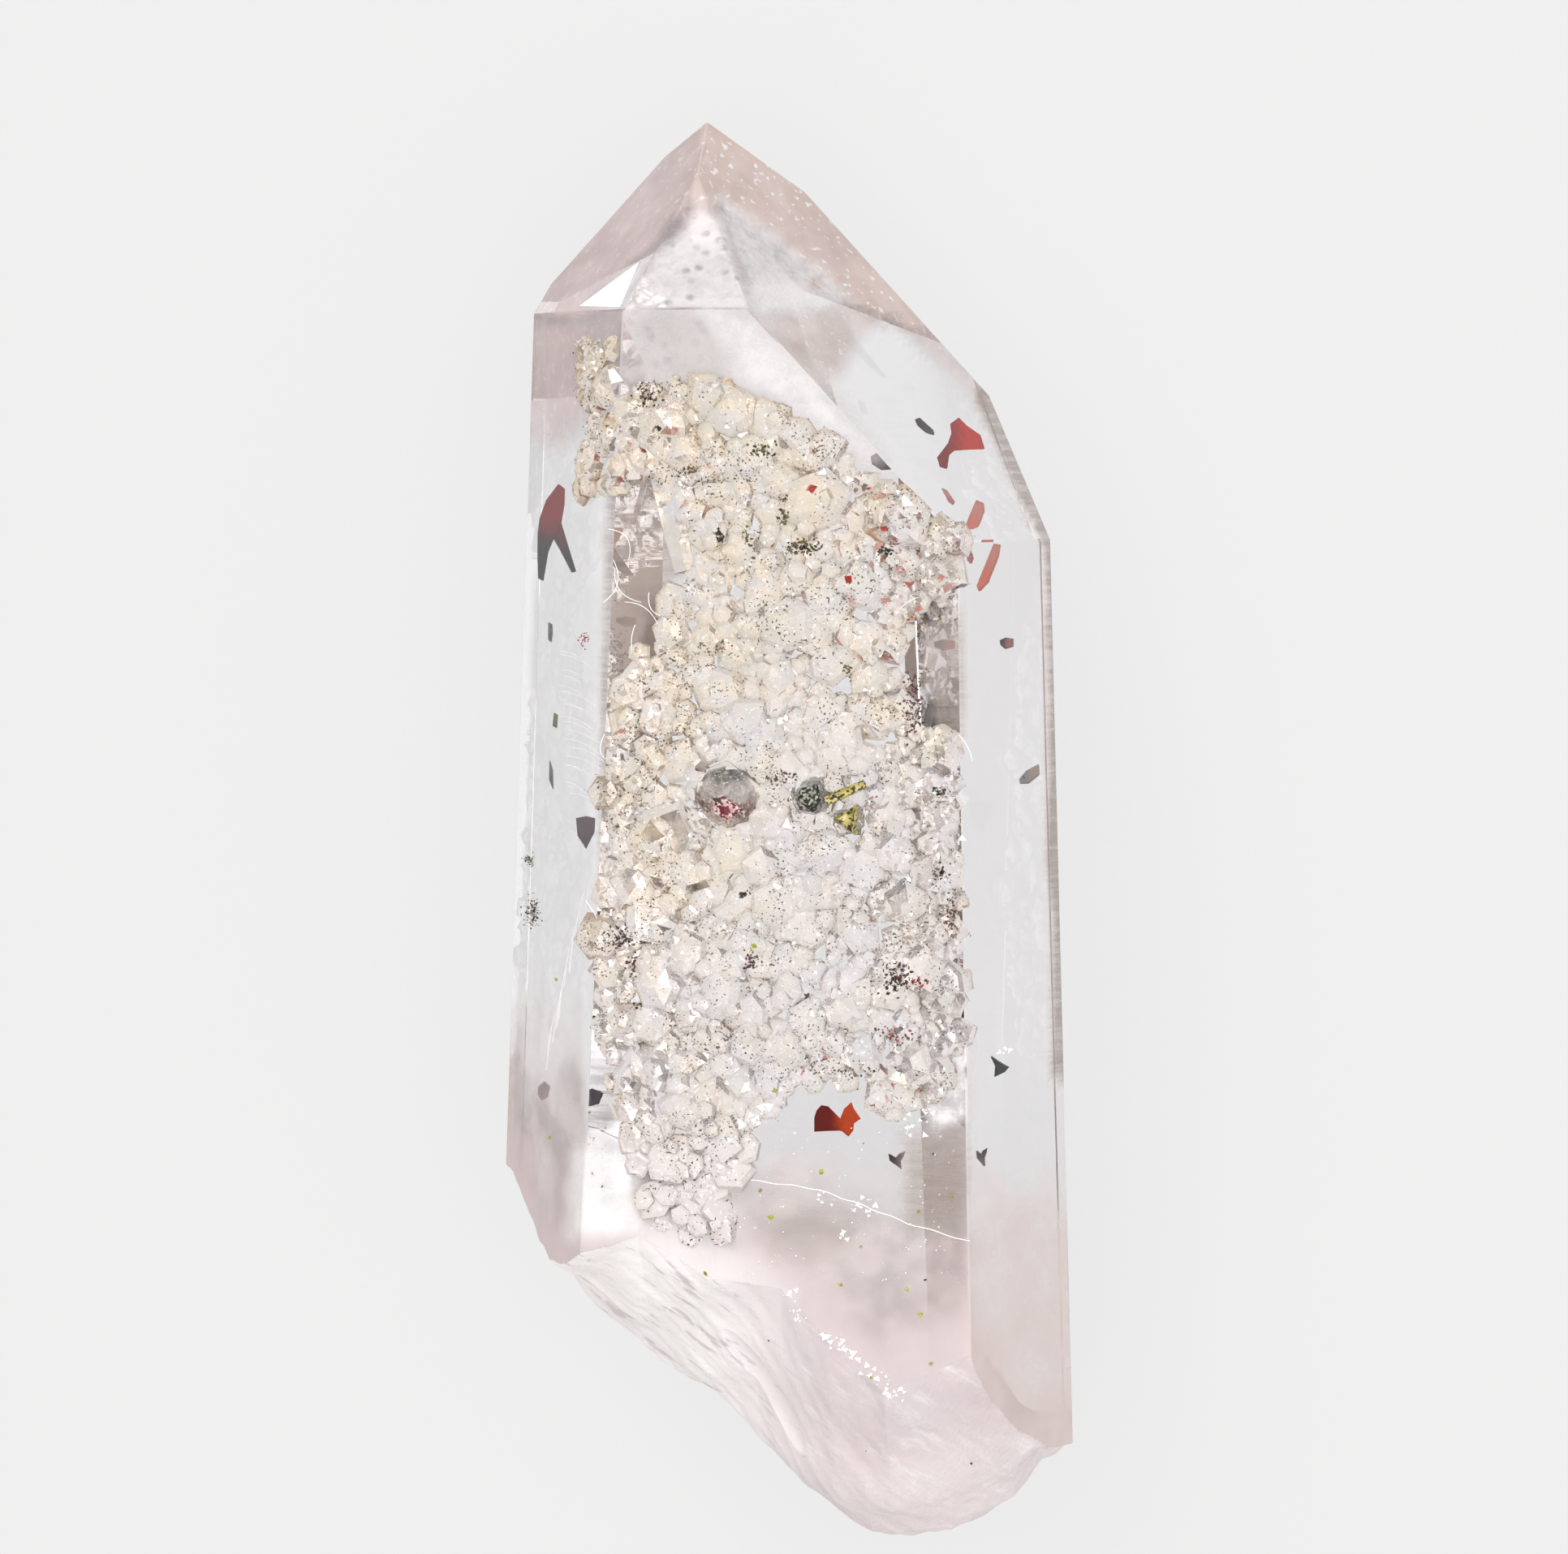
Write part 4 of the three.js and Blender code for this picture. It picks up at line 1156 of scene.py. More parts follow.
nodes = Finish("film")
place = nodes.millimetres()
marks = {name: nodes.marked(name) for name in ("haze", "border", *FILM_ZONES)}
across, along, _ = nodes.axes(place)
soft = nodes.noise(place, 0.6, 2.0)
fine = nodes.noise(place, 3.2, 2.0, 0.6)
lines = nodes.stretched(place, (0.5, 8.0, 0.5))
uneven = {
    "haze": nodes.step(soft, 0.3, 0.7, 0.28, 0.5),
    "border": nodes.step(soft, 0.3, 0.7, 0.4, 0.6),
    "rose": nodes.step(soft, 0.3, 0.7, 0.6, 0.9),
    "cloud": nodes.step(fine, 0.3, 0.7, 0.6, 0.9),
    "milk": nodes.step(fine, 0.3, 0.7, 0.5, 1.0),
    "smoke": nodes.step(nodes.noise(lines, 1.0, 2.0), 0.3, 0.7, 0.6, 1.0),
}
bubbles = nodes.step(nodes.noise(place, 5.0, 1.0), 0.62, 0.7)
clear_part = 1.0
for name, amount in uneven.items():
    clear_part = nodes.times(nodes.minus(1.0, nodes.times(marks[name], amount)), clear_part)
nodes.shade({"Alpha": nodes.minus(1.0, clear_part)})
patches = nodes.step(nodes.noise(place, 0.9, 2.0), 0.35, 0.65)
tone = nodes.mix(patches, *HAZE_TONES)
tone = nodes.mix(marks["border"], tone, BORDER_TONE)
tone = nodes.mix(nodes.step(across, 4.7, 5.3), tone, RIGHT_TONE)
rose = nodes.mix(nodes.step(across, -3.6, -1.6), ROSE_LEFT, ROSE_RIGHT)
rose = nodes.mix(nodes.times(patches, 0.4), rose, ROSE_LEFT)
tone = nodes.mix(marks["rose"], tone, nodes.mix(bubbles, rose, CLOUD_WHITE))
cloud_tone = nodes.mix(nodes.step(along, 13.3, 13.9), CLOUD_SMOKE, CLOUD_WHITE)
blobs = nodes.add("ShaderNodeTexVoronoi", {"Vector": place, "Scale": 2.7}, feature="F1").outputs["Distance"]
blobs = nodes.times(nodes.step(blobs, 0.14, 0.5, 1.0, 0.0), nodes.step(fine, 0.35, 0.65))
cloud = nodes.mix(blobs, cloud_tone, CLOUD_GREY)
tone = nodes.mix(marks["cloud"], tone, cloud)
tone = nodes.mix(nodes.smaller(nodes.times(marks["milk"], 1.9), 1.0), tone, MILK_WHITE)
# Grey over the smoke marks: partly a smoky spot, partly painted shade along edges, in the notch and at the
# lower right.
tone = nodes.mix(nodes.smaller(nodes.times(marks["smoke"], 2.0), 1.0), tone, SMOKE_AND_PAINTED_SHADE_GREY)
nodes.shade({"Base Color": tone, "Roughness": 0.9, "Specular IOR Level": 0.0})
placed(film, nodes.material)
print("film material:", len(nodes.tree.nodes), "nodes")

# %% The crack below the tip, painted as a highlight that glows
LEFT_PYRAMID = 11  # place in the list of faces
# Pixels of a crack painted as a highlight on the left pyramid face, and the painted glow it is given.
CRACK_PAINTED_HIGHLIGHT = [(714, 377), (787, 323), (764, 378)]
CRACK_LIFT, CRACK_PAINTED_GLOW = 0.012, 0.25


def on_face(pixels, face, lift):
    """Places a little outside a face that the camera sees at pixels."""
    ways = sights(pixels)
    reach = (face_distances[face] + lift - eye @ face_normals[face]) / (ways @ face_normals[face])
    return eye + ways * reach[:, None]


lifts = (CRACK_LIFT, CRACK_LIFT + SKIN_THICKNESS)
corners = np.vstack([on_face(CRACK_PAINTED_HIGHLIGHT, LEFT_PYRAMID, lift) for lift in lifts])
crack_sides = [[0, 1, 2], [3, 4, 5], [0, 1, 4, 3], [1, 2, 5, 4], [2, 0, 3, 5]]
crack_painted_highlight = mesh_of("crack_painted_highlight", corners, crack_sides)
# Painted highlight: a near-white plate with a faint glow of its own where the crack catches the light.
bright = Finish("crack_painted_highlight")
bright.shade({"Base Color": colour(0.98, 0.98, 0.98)})
bright.shade({"Emission Color": colour(1, 1, 1), "Emission Strength": CRACK_PAINTED_GLOW})
placed(crack_painted_highlight, bright.material)
print("bright crack corners:", corners[:3].round(2).tolist())

# %% [markdown]
# ## The flakes of iron ore
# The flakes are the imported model's own pieces, sealed at one level. Each gets its own mottled finish: two
# colours that run into each other along the flake, with dark specks and a slightly metallic sheen.

# %% Colours of each flake
# Colour at one end and at the other, the direction from the first to the second, the share of dark specks.
FLAKE_FINISHES = {
    "hematite_blade": (colour(0.006, 0.005, 0.012), colour(0.38, 0.0, 0.003), (0.1, 1.0), 0.08),
    "red_star_flake": (colour(0.3, 0.004, 0.006), colour(0.85, 0.02, 0.008), (1.0, -0.3), 0.04),
    "dark_rod": (colour(0.05, 0.035, 0.05), colour(0.09, 0.065, 0.09), (1.0, 0.0), 0.4),
    "small_red_sliver": (colour(0.66, 0.22, 0.24), colour(0.76, 0.33, 0.33), (0.0, 1.0), 0.1),
    "red_streak": (colour(0.85, 0.24, 0.16), colour(0.8, 0.32, 0.26), (0.0, 1.0), 0.05),
    "red_twin_flake": (colour(0.24, 0.01, 0.01), colour(0.9, 0.1, 0.02), (1.0, 0.0), 0.15),
    "black_star_flake": (colour(0.008, 0.008, 0.012), colour(0.04, 0.015, 0.04), (1.0, 0.3), 0.3),
    "purple_kite_flake": (colour(0.05, 0.012, 0.035), colour(0.1, 0.045, 0.075), (0.0, 1.0), 0.2),
    "two_tone_bar": (colour(0.1, 0.08, 0.1), colour(0.45, 0.2, 0.17), (1.0, 0.0), 0.3),
    "smoky_flake": (colour(0.4, 0.38, 0.38), colour(0.6, 0.48, 0.43), (1.0, 0.5), 0.4),
    "black_chip": (colour(0.005, 0.007, 0.012), colour(0.015, 0.02, 0.03), (1.0, -0.6), 0.2),
    "blurred_dark_flake": (colour(0.1, 0.09, 0.11), colour(0.16, 0.14, 0.17), (1.0, 0.3), 0.4),
    "upper_grey_needle": (colour(0.14, 0.14, 0.15), colour(0.2, 0.2, 0.2), (0.0, 1.0), 0.3),
    "olive_needle": (colour(0.16, 0.14, 0.06), colour(0.24, 0.22, 0.12), (0.0, 1.0), 0.3),
    "lower_grey_needle": (colour(0.14, 0.14, 0.15), colour(0.2, 0.2, 0.2), (0.0, 1.0), 0.3),
}


FLAKE_SPECKS = colour(0.015, 0.012, 0.015)
SEALED_GLOSS = 0.05  # ore sealed in quartz shines less than in air


def flake_material(name, first, second, way, speck_share):
    """Ore whose colour runs from one end of the flake to the other, blended by the place along that way."""
    low, high = (np.array(corner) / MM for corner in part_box(name))
    middle, reach = (low + high) / 2, np.linalg.norm((high - low)[:2]) / 2
    nodes = Finish(name)
    place = nodes.millimetres()
    from_middle = nodes.add("ShaderNodeVectorMath", {0: place, 1: tuple(middle)}, operation="SUBTRACT")
    along = nodes.along(from_middle.outputs[0], unit([*way, 0.0]))
    wavy = nodes.plus(along, nodes.times(nodes.noise(place, 3.0), 0.5 * reach))
    tone = nodes.mix(nodes.step(wavy, -0.1 * reach, 0.6 * reach), first, second)
    tones = {"Place": place, "First": tone, "Second": tone, "Speck": FLAKE_SPECKS}
    sizes = {"Speck share": speck_share, "Grain scale": 14.0}
    group = nodes.add("ShaderNodeGroup", {**tones, **sizes}, node_tree=mottle)
    nodes.shade({
        "Base Color": group.outputs["Colour"],
        "Roughness": nodes.step(group.outputs["Grain"], 0.3, 0.7, 0.25, 0.55),
        "Specular IOR Level": SEALED_GLOSS,
    })
    nodes.bump(group.outputs["Grain"], 0.4, 0.03)
    return nodes.material


for name, finish in FLAKE_FINISHES.items():
    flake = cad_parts[name]
    flake.data.materials.clear()
    flake.data.materials.append(flake_material(name, *finish))
print("flakes dressed:", len(FLAKE_FINISHES))

# %% [markdown]
# ## Grains
# Thousands of grains too small to be pieces of their own give the crust its speckle: brown and black ore
# dust in the crevices, yellow-green flecks, and a few spots of red. Each is an eight-sided grain with three
# half-widths of its own, turned at random, and one mesh holds them all. A number on its faces picks its
# colour.

# %% Grains as one mesh
GRAIN_KINDS = ["white", "cream", "yellow_green", "olive", "brown", "black", "purple", "red"]
GRAIN_COLOURS = [
    colour(0.97, 0.97, 0.96), colour(0.86, 0.76, 0.6), colour(0.5, 0.47, 0.03), colour(0.16, 0.14, 0.03),
    colour(0.15, 0.075, 0.035), colour(0.02, 0.022, 0.018), colour(0.12, 0.025, 0.06),
    colour(0.5, 0.03, 0.02),
]
OCTAHEDRON = np.array([[1, 0, 0], [-1, 0, 0], [0, 1, 0], [0, -1, 0], [0, 0, 1], [0, 0, -1]], float)
OCTAHEDRON_FACES = np.array([
    [0, 2, 4], [2, 1, 4], [1, 3, 4], [3, 0, 4], [2, 0, 5], [1, 2, 5], [3, 1, 5], [0, 3, 5],
])
HIGH_ABOVE = 20.0
grain_sets = []


def lay_grains(seats, sizes, kinds, rng, flat=0.6):
    """Eight-sided grains: half-widths along three axes of each grain, turned by a random rotation, plus its
    seat."""
    count = len(seats)
    widths = sizes[:, None] * rng.uniform(0.6, 1.3, (count, 3)) * (1, 1, flat)
    turned = turns(rng.normal(size=(count, 3)), rng.uniform(0, np.pi, count))
    points = np.einsum("nij,nkj->nki", turned, OCTAHEDRON * widths[:, None]) + seats[:, None]
    numbers = rng.choice([GRAIN_KINDS.index(kind) for kind in kinds], count)
    grain_sets.append((points, numbers))


def on_the_crystal(places):
    """Where lines straight down from high above the places meet the crystal."""
    return np.array([surface.ray_cast((x, y, HIGH_ABOVE), (0, 0, -1))[0] for x, y in places])


DUST_COUNT, CREVICE_COUNT = 1500, 2000
DUST_SIZES, CREVICE_SIZES = (0.012, 0.03), (0.012, 0.032)
DEEP, CREVICE_SPREAD = 0.35, 0.04
rng = np.random.default_rng(41)
deep = crevice_points[:, 3] > DEEP
seats = crevice_points[deep][rng.integers(deep.sum(), size=CREVICE_COUNT), :3]
seats = seats + rng.normal(0, CREVICE_SPREAD, seats.shape)
lay_grains(seats, rng.uniform(*CREVICE_SIZES, CREVICE_COUNT), ["brown", "brown", "olive", "cream"], rng)
seats = crevice_points[rng.integers(len(crevice_points), size=DUST_COUNT), :3]
lay_grains(seats, rng.uniform(*DUST_SIZES, DUST_COUNT), ["white", "cream", "cream", "brown"], rng)
print("grains so far:", sum(len(points) for points, _ in grain_sets))

# %% Clusters at the places where the crystal has them
CLUSTER_DENSITY = 1.2
CLUSTER_DEPTH = -0.5  # under the front face, so below 0 it is above it, in the crust
# Pixel of the middle, half-widths in millimetres, number of grains, largest grain and kinds.
CLUSTERS = [
    ((800, 486), (0.42, 0.4), 70, 0.06, ["brown", "black", "brown"]),
    ((812, 528), (0.08, 0.08), 8, 0.09, ["black"]),
    ((943, 554), (0.36, 0.2), 46, 0.065, ["black", "olive"]),
    ((1018, 556), (0.4, 0.3), 30, 0.045, ["brown"]),
    ((886, 662), (0.12, 0.16), 16, 0.08, ["black"]),
    ((966, 637), (0.12, 0.18), 18, 0.08, ["olive", "brown"]),
    ((966, 614), (0.12, 0.12), 10, 0.06, ["brown"]),
    ((924, 662), (0.2, 0.4), 26, 0.06, ["olive", "brown"]),
    ((989, 674), (0.5, 0.2), 70, 0.07, ["brown", "black", "olive"]),
    ((848, 580), (0.3, 0.14), 34, 0.06, ["olive", "brown"]),
    ((892, 592), (0.9, 0.1), 30, 0.045, ["brown"]),
    ((1089, 680), (0.28, 0.14), 34, 0.065, ["brown", "black"]),
    ((1124, 870), (0.24, 1.0), 120, 0.06, ["brown", "brown", "purple"]),
    ((1043, 826), (0.14, 0.2), 26, 0.06, ["olive", "brown"]),
    ((880, 800), (0.5, 0.2), 40, 0.05, ["brown"]),
    ((765, 1156), (0.42, 0.32), 100, 0.06, ["purple", "black", "brown"]),
    ((779, 1191), (0.2, 0.24), 30, 0.055, ["purple", "brown"]),
    ((1106, 1205), (0.34, 0.4), 110, 0.065, ["purple", "black", "brown"]),
    ((1133, 1212), (0.24, 0.2), 26, 0.06, ["red", "purple"]),
    ((1102, 1274), (0.5, 0.24), 50, 0.06, ["brown", "brown", "red"]),
    ((1172, 1126), (0.14, 0.6), 60, 0.06, ["brown"]),
    ((962, 957), (0.38, 0.2), 60, 0.055, ["purple", "brown"]),
    ((1160, 975), (0.2, 0.12), 26, 0.06, ["black"]),
    ((1160, 1078), (0.22, 0.3), 40, 0.06, ["black", "brown"]),
    ((925, 1186), (0.18, 0.24), 36, 0.055, ["purple", "black"]),
    ((916, 1101), (0.16, 0.08), 10, 0.08, ["black"]),
    ((994, 1228), (0.08, 0.1), 8, 0.07, ["brown"]),
    ((786, 1240), (0.14, 0.08), 10, 0.065, ["black", "brown"]),
    ((760, 1000), (0.5, 1.2), 40, 0.05, ["brown"]),
    ((1040, 1320), (1.4, 0.3), 60, 0.045, ["brown", "black", "olive"]),
]
for pixel, (reach_x, reach_y), count, largest, kinds in CLUSTERS:
    count = int(CLUSTER_DENSITY * count)
    places = seen_at([pixel], CLUSTER_DEPTH)[0, :2] + rng.normal(0, 0.5, (count, 2)) * (reach_x, reach_y)
    seats = on_the_crystal(places)
    lay_grains(seats, rng.uniform(0.3, 1.0, count) * largest, kinds, rng)
print("grains so far:", sum(len(points) for points, _ in grain_sets))

# %% Flecks and dots on the front face
GREEN_FLECKS = [
    (1012, 1444), (1132, 1493), (1172, 1473), (1061, 1536), (1118, 1589), (1134, 1619), (1147, 1680),
    (950, 1500), (869, 1569), (937, 1467), (673, 1215), (664, 1412), (1036, 1583), (1073, 1697),
]
DARK_DOTS = [
    (730, 1446), (1140, 1577), (1150, 1422), (742, 1462), (1064, 1409), (942, 1659), (1061, 1799),
    (1190, 1818),
]
DRUSE_REDS = [(1001, 602), (1070, 602), (1091, 651), (1047, 714)]
DRUSE_GREENS = [(955, 1344), (927, 1170), (930, 1165), (1082, 852)]
# Smudges on the left face: pixel of the middle, half-widths in pixels, number of grains and kinds.
LEFT_MARKS = [
    ((656, 1124), (9, 17), 170, ["purple", "black", "olive"]),
    ((652, 1060), (8, 7), 60, ["black", "olive"]),
    ((720, 787), (6, 8), 44, ["red", "purple"]),
]
MARK_SIZES, DOT_DEPTH = (0.012, 0.036), -0.4
FLECK_LIFT = 0.015  # over the surface, so that the film doesn't cover them

for pixel, reach, count, kinds in LEFT_MARKS:
    pixels = np.array(pixel) + rng.normal(0, 0.5, (count, 2)) * reach
    seats = on_face(pixels, LEFT_PRISM, FLECK_LIFT)
    past_edge = (seats @ face_normals.T - face_distances).max(axis=1) >= 1.1 * FLECK_LIFT
    seats = seats[~past_edge]
    lay_grains(seats, rng.uniform(*MARK_SIZES, len(seats)), kinds, rng)
    print(len(seats), "of", count, "grains lie on the left face")
for pixels, size, kind in [(GREEN_FLECKS, 0.08, "yellow_green"), (DARK_DOTS, 0.04, "black")]:
    seats = on_the_crystal(seen_at(pixels)[:, :2]) + (0.0, 0.0, FLECK_LIFT)
    lay_grains(seats, rng.uniform(0.7, 1.2, len(seats)) * size, [kind], rng)
for pixels, size, kind in [(DRUSE_REDS, 0.16, "red"), (DRUSE_GREENS, 0.09, "yellow_green")]:
    seats = on_the_crystal(seen_at(pixels, DOT_DEPTH)[:, :2])
    lay_grains(seats, rng.uniform(0.8, 1.2, len(seats)) * size, [kind], rng, 0.4)

grain_points = np.concatenate([points for points, _ in grain_sets])
grain_numbers = np.concatenate([numbers for _, numbers in grain_sets])
grain_faces = (OCTAHEDRON_FACES + 6 * np.arange(len(grain_points))[:, None, None]).reshape(-1, 3)
grains = bpy.data.meshes.new("grains")
grains.from_pydata(grain_points.reshape(-1, 3).tolist(), [], grain_faces.tolist())
mark(grains, "kind", np.repeat(grain_numbers, len(OCTAHEDRON_FACES)))
grains = shown("ore_grains", grains)

nodes = Finish("ore_grains")
stops = [(k / len(GRAIN_KINDS), tone) for k, tone in enumerate(GRAIN_COLOURS)]
ramp = nodes.ramp(nodes.over(nodes.plus(nodes.marked("kind"), 0.5), len(GRAIN_KINDS)), stops)
ramp.color_ramp.interpolation = "CONSTANT"
shade = nodes.step(nodes.noise(nodes.millimetres(), 9.0, 2.0), 0.35, 0.65, 0.5, 1.0)
nodes.shade({"Base Color": nodes.mix(1.0, ramp.outputs[0], shade, "MULTIPLY"), "Roughness": 0.5})
placed(grains, nodes.material)
print("grains:", len(grain_points), "triangles:", len(grain_faces))

# %% [markdown]
# ## Stained crystals, painted glints and fibres
# A few crystals of the crust are full of ore: a green-black one that is purple below, a smaller green-black
# one, and a yellow-green wedge and bar beside them. They are shells like the others and stand on the prism
# face where room was left for them. White three-sided shells are painted glints, laid where small flat
# faces catch the light. Fine lint clings to the crust, hair-fine scratches cross the left face, and a thin
# line runs where a crack meets the front face. All three are tubes: a ring of points carried along a path.

# %% Stained crystals
YELLOW_BAR = [(1021, 986), (1068, 965)]  # pixels at its two ends
YELLOW_BAR_RADIUS, YELLOW_BAR_HEIGHT, YELLOW_BAR_ROOT = 0.15, 0.5, 0.05
STAINED_TILT = 0.5  # of what the other crystals lean
# Two tones, the dark specks and how far those cover.
STAIN_KINDS = {
    "black_green": (colour(0.2, 0.21, 0.17), colour(0.5, 0.48, 0.4), colour(0.01, 0.012, 0.008), 0.74),
    "purple": (colour(0.44, 0.25, 0.22), colour(0.7, 0.58, 0.52), colour(0.14, 0.012, 0.025), 0.72),
    "yellow_green": (colour(0.4, 0.33, 0.05), colour(0.62, 0.54, 0.24), colour(0.03, 0.022, 0.008), 0.64),
}


def stained_material(name, above, below, middle):
    """A crystal full of ore: two tones in patches, closely covered with dark specks, with one stain above
    the middle and one below it."""
    nodes = Finish(name)
    place = nodes.millimetres()
    halves = []
    for kind in (below, above):
        first, second, dark, share = STAIN_KINDS[kind]
        speckle = {"Place": place, "First": first, "Second": second, "Speck": dark, "Speck share": share}
        scales = {"Patch scale": 4.0, "Grain scale": 10.0}
        halves.append(nodes.add("ShaderNodeGroup", {**speckle, **scales}, node_tree=mottle).outputs["Colour"])
    wave = nodes.step(nodes.noise(place, 5.0, 3.0), 0.3, 0.7, -0.25, 0.25)
    ragged = nodes.plus(nodes.axes(place)["Y"], wave)
    share = nodes.step(ragged, middle - 0.1, middle + 0.1)
    nodes.shade({"Base Color": nodes.mix(share, *halves), "Roughness": 0.3})
    return nodes.material


rng = np.random.default_rng(61)
for k, (pixel, radius, height, sides, above, below) in enumerate(STAINED_CRYSTALS):
    shell = crystal_shells(
        np.array([[*stained_middles[k], FRONT_DISTANCE]]), upright(1), np.array([radius]), np.array([height]),
        rng.uniform(*TILT_RANGE, 1) * STAINED_TILT, SMALL_PROFILE, ROOT_DEPTH, rng, sides,
    )
    name = f"stained_crystal_{k + 1}"
    finish = stained_material(name, above, below, float(stained_middles[k, 1] + TO_FRAME[1]) + 0.15)
    placed(shells_mesh(name, shell, sides), finish)
first, last = seen_at(YELLOW_BAR, -YELLOW_BAR_HEIGHT)
way, length = unit(last - first), np.linalg.norm(last - first)
yellow_bar = crystal_shells(
    first[None], way[None], np.array([YELLOW_BAR_RADIUS]), np.array([length]), np.zeros(1), BAR_PROFILE,
    YELLOW_BAR_ROOT, rng,
)
bar_finish = stained_material("yellow_bar", "yellow_green", "yellow_green", 0.0)
placed(shells_mesh("yellow_bar", yellow_bar), bar_finish)
print("stained crystals:", len(STAINED_CRYSTALS) + 1)

# %% Painted glints
# Painted glints: white three-sided shells laid where small flat faces catch the light, on the crust and round
# the base.
PAINTED_GLINTS = [
    ((964, 885), 0.26), ((968, 1016), 0.2), ((834, 1159), 0.16), ((956, 1094), 0.18), ((1120, 1084), 0.14),
    ((1184, 1034), 0.14), ((913, 1387), 0.2), ((824, 520), 0.2), ((912, 534), 0.2), ((714, 527), 0.18),
    ((1014, 584), 0.18), ((1116, 619), 0.22), ((1045, 591), 0.14), ((950, 545), 0.14), ((838, 596), 0.14),
    ((1159, 1344), 0.12), ((790, 640), 0.1), ((870, 1300), 0.14), ((1000, 1250), 0.12), ((860, 900), 0.12),
]
PAINTED_BASE_SPARKLES = [
    ((974, 1595), 0.1), ((1023, 1651), 0.14), ((1036, 1662), 0.1), ((1049, 1670), 0.14), ((1078, 1692), 0.16),
    ((1093, 1714), 0.14), ((1108, 1716), 0.1), ((1071, 1484), 0.16), ((1058, 1490), 0.1), ((870, 1458), 0.16),
    ((900, 1432), 0.18), ((1010, 1478), 0.12), ((1040, 1522), 0.1), ((1130, 1380), 0.14), ((1118, 1392), 0.1),
    ((1142, 1368), 0.12), ((978, 1612), 0.08), ((985, 1625), 0.08), ((1232, 1296), 0.14), ((930, 1376), 0.2),
]
SPLINTERS, DUSTING_COUNT = 9, 170  # splinters in each sparkle, and specks on the face round them
SCATTERED_PAINTED_GLINTS, SCATTERED_SIZES = 170, (0.04, 0.1)
GLINT_PROFILE = np.array([[1.0, 0.0], [0.8, 0.8]])
GLINT_HEIGHT, GLINT_ROOT, GLINT_TILT, GLINT_DEPTH = 0.025, 0.01, 0.6, -0.6
SPLINTER_SHARES, DUSTING_SIZES = (0.3, 0.95), (0.012, 0.035)
DUSTING_CORNERS = (-3.5, -13.0), (4.4, -8.8)

middles = seen_at([pixel for pixel, _ in PAINTED_BASE_SPARKLES])[:, :2]
spread = np.repeat([radius for _, radius in PAINTED_BASE_SPARKLES], SPLINTERS)
splinters = np.repeat(middles, SPLINTERS, axis=0) + rng.normal(0, 1.0, (len(spread), 2)) * spread[:, None]
dusting = rng.uniform(*DUSTING_CORNERS, (DUSTING_COUNT, 2))
base_seats = on_the_crystal(np.vstack([splinters, dusting])) + (0.0, 0.0, FLECK_LIFT)
splinter_radii = spread * rng.uniform(*SPLINTER_SHARES, len(spread)) ** 2
dusting_radii = rng.uniform(*DUSTING_SIZES, DUSTING_COUNT)
high_points = crevice_points[crevice_points[:, 3] < 0.02, :3]
glint_seats = np.vstack([
    on_the_crystal(seen_at([pixel for pixel, _ in PAINTED_GLINTS], GLINT_DEPTH)[:, :2]),
    base_seats,
    high_points[rng.integers(len(high_points), size=SCATTERED_PAINTED_GLINTS)],
])
glint_radii = np.concatenate([
    [radius for _, radius in PAINTED_GLINTS], splinter_radii, dusting_radii,
    rng.uniform(*SCATTERED_SIZES, SCATTERED_PAINTED_GLINTS),
])
count = len(glint_seats)
glint_points = crystal_shells(
    glint_seats, upright(count), glint_radii, np.full(count, GLINT_HEIGHT),
    rng.uniform(*TILT_RANGE, count) * GLINT_TILT, GLINT_PROFILE, GLINT_ROOT, rng, 3,
)
glints = shells_mesh("glints", glint_points, 3)
print("glints:", count)


# %% Lint, scratches and the crack line
def swept(path, radius, sides=5):
    """Points of a closed tube: a ring round each place of a path, square to the way it runs, and a point at
    each end."""
    way = unit(np.gradient(path, axis=0))
    aside = unit(np.cross(way, [0.0, 0.0, 1.0]))
    angle = np.arange(sides)[:, None] * 2 * np.pi / sides
    ring = np.cos(angle) * aside[:, None] + np.sin(angle) * np.cross(aside, way)[:, None]
    return np.vstack([(path[:, None] + radius * ring).reshape(-1, 3), path[:1], path[-1:]])


# Pixels at the two ends of each fibre.
FIBRES = [
    ((758, 700), (790, 742)), ((770, 742), (812, 772)), ((800, 730), (826, 760)), ((783, 770), (790, 822)),
    ((756, 690), (744, 742)), ((820, 768), (836, 728)), ((750, 652), (775, 690)), ((1108, 752), (1140, 735)),
    ((1181, 905), (1198, 938)), ((745, 905), (762, 942)), ((722, 1110), (746, 1172)),
    ((930, 700), (965, 690)),
]
FIBRE_RADIUS, FIBRE_POINTS, FIBRE_DEPTH, FIBRE_SAG, FIBRE_LIFT = 0.011, 14, -0.15, 0.35, 0.3
CRACK_RADIUS, CRACK_POINTS, CRACK_WAVE, CRACK_WAVES = 0.014, 40, 0.02, 9
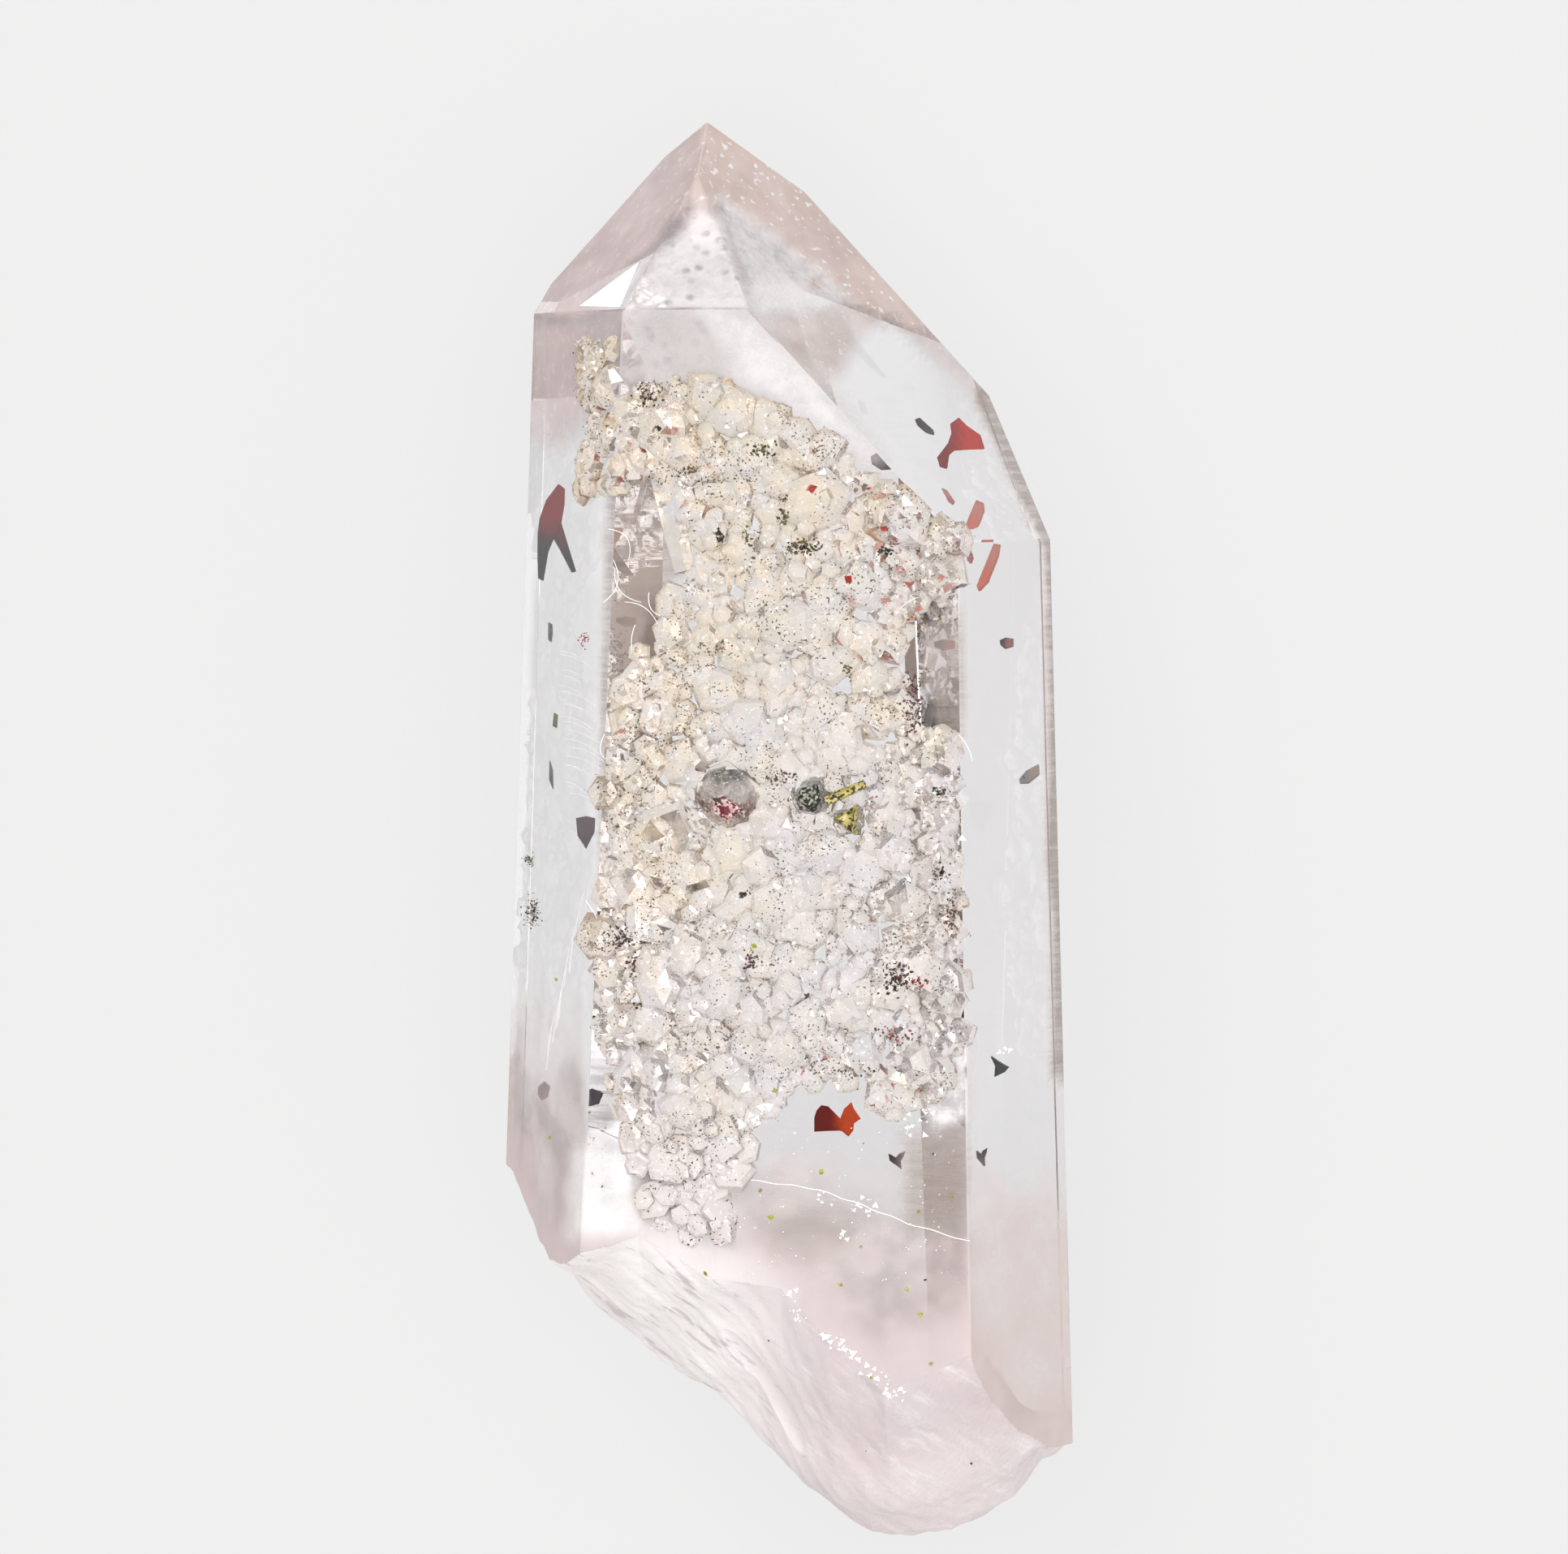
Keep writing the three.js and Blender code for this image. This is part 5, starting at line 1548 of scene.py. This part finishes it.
# Sets of hair lines on the left face: their number, and in pixels the first start, the step and the way.
HAIR_SETS = [(19, (691, 806), (0.5, 9.5), (42, 17)), (13, (728, 1078), (-3.5, 15), (-14, 74))]
HAIR_RADIUS, HAIR_SPREAD, HAIR_LENGTHS = 0.007, 3.0, (0.4, 1.1)
CRACK_LINE = [(880, 1450), (940, 1456), (1005, 1465), (1060, 1484), (1120, 1508), (1195, 1530)]
t = np.linspace(0, 1, FIBRE_POINTS)[:, None]
fibre_points = []
for start, end in FIBRES:
    first, last = seen_at([start, end], FIBRE_DEPTH)
    sag = rng.uniform(-FIBRE_SAG, FIBRE_SAG) * np.array([first[1] - last[1], last[0] - first[0], 0.0])
    lift = np.array([0.0, 0.0, rng.uniform(0.0, FIBRE_LIFT)])
    fibre_points.append(swept(first + (last - first) * t + 4 * t * (1 - t) * (sag + lift), FIBRE_RADIUS))
for number, first, step, reach in HAIR_SETS:
    for k in range(number):
        start = np.array(first) + k * np.array(step) + rng.normal(0, HAIR_SPREAD, 2)
        pixels = start + (t * (1, 0) + t**2 * (0, 1)) * reach * rng.uniform(*HAIR_LENGTHS)
        fibre_points.append(swept(on_face(pixels, LEFT_PRISM, CRACK_LIFT), HAIR_RADIUS))
lint = shells_mesh("lint", np.array(fibre_points), 5)
corners = seen_at(CRACK_LINE, -FLECK_LIFT)
steps = np.linspace(0, len(corners) - 1, CRACK_POINTS)
path = np.column_stack([np.interp(steps, np.arange(len(corners)), corners[:, k]) for k in range(3)])
path[:, 1] += CRACK_WAVE * np.sin(CRACK_WAVES * steps)
crack = shells_mesh("crack_line", swept(path, CRACK_RADIUS)[None], 5)

# White: the own colour of the lint and the crack line, and a painted highlight on the glints.
white = Finish("lint_crack_and_painted_glint_white")
white.shade({"Base Color": colour(0.97, 0.97, 0.96), "Roughness": 0.25})
for thing in (glints, lint, crack):
    placed(thing, white.material)
print("fibres:", len(FIBRES), "crack line points:", len(path))

# %% [markdown]
# ## Floor and light
# The floor is plain and pale. The light is one soft studio sky: bright white overhead, and a dimmer warm
# grey low down. That difference matters more for clear stone than any lamp, because each face bends light
# from another height. The camera itself sees only a plain pale backdrop.

# %% Lay the floor
FLOOR_DROP, FLOOR_HALF, FLOOR_LIGHT = 0.05 * MM, 0.6, 0.73
floor_mesh = bpy.data.meshes.new("floor")
square = [(-1, -1), (1, -1), (1, 1), (-1, 1)]
floor_corners = [(x * FLOOR_HALF, y * FLOOR_HALF, -FLOOR_DROP) for x, y in square]
floor_mesh.from_pydata(floor_corners, [], [(0, 1, 2, 3)])
floor = shown("floor", floor_mesh)
floor_finish = Finish("floor")
floor_finish.shade({
    "Base Color": colour(0.1, 0.1, 0.1), "Roughness": 0.7, "Specular IOR Level": 0.0,
    "Emission Color": colour(1, 1, 1), "Emission Strength": FLOOR_LIGHT,
})
floor_mesh.materials.append(floor_finish.material)
print("floor laid", FLOOR_DROP / MM, "mm below the crystal")

# %% A soft studio sky
# Height in the sky, as the sine of the elevation, and the light there.
SKY = [
    (0.0, (0.25, 0.21, 0.18)), (0.22, (0.3, 0.25, 0.22)), (0.38, (1.1, 1.09, 1.08)), (0.7, (1.2, 1.19, 1.18)),
    (0.86, (2.0, 2.0, 2.0)), (1.0, (2.4, 2.4, 2.4)),
]
# Darker and brighter cards: direction, its light, and the angles where it is full and where it has faded out.
CARDS = {
    "left wall": ((-0.82, -0.3, 0.49), (0.3, 0.24, 0.2), 14, 32),
    "below the base": ((-0.12, -0.89, 0.44), (0.6, 0.46, 0.46), 4, 24),
    "overhead": ((-0.11, -0.04, 0.99), (0.42, 0.34, 0.29), 4.5, 7.5),
    "softbox": ((-0.35, 0.72, 0.6), (5.0, 5.0, 5.0), 10, 14),
}
BACKDROP = colour(0.87, 0.87, 0.865)

sky = bpy.data.worlds.new("sky")
sky.use_nodes = True
nodes = Nodes(sky.node_tree)
nodes.tree.nodes.clear()
way = nodes.add("ShaderNodeTexCoord").outputs["Generated"]
light = nodes.ramp(nodes.axes(way)["Z"], [(height, colour(*tone)) for height, tone in SKY]).outputs[0]
for middle, card_light, *angles in CARDS.values():
    full, gone = (float(np.cos(np.radians(angle))) for angle in angles)
    light = nodes.mix(nodes.step(nodes.along(way, unit(middle)), gone, full), light, colour(*card_light))
by_camera = nodes.add("ShaderNodeLightPath").outputs["Is Camera Ray"]
seen = nodes.mix(by_camera, light, BACKDROP)
background = nodes.add("ShaderNodeBackground", {"Color": seen, "Strength": 1.0})
nodes.add("ShaderNodeOutputWorld", {"Surface": background.outputs[0]})
bpy.context.scene.world = sky
print("sky with", len(SKY), "levels and", len(CARDS), "cards")

# %% Light paths and colours
GLASS_BOUNCES = 10  # times that light may bend or bounce before it counts as dark
scene = bpy.context.scene
scene.cycles.max_bounces = GLASS_BOUNCES
scene.cycles.transmission_bounces = GLASS_BOUNCES
scene.cycles.glossy_bounces = GLASS_BOUNCES
scene.cycles.diffuse_bounces = 2
scene.cycles.transparent_max_bounces = 128
scene.view_settings.view_transform = "Standard"
scene.view_settings.look = "None"
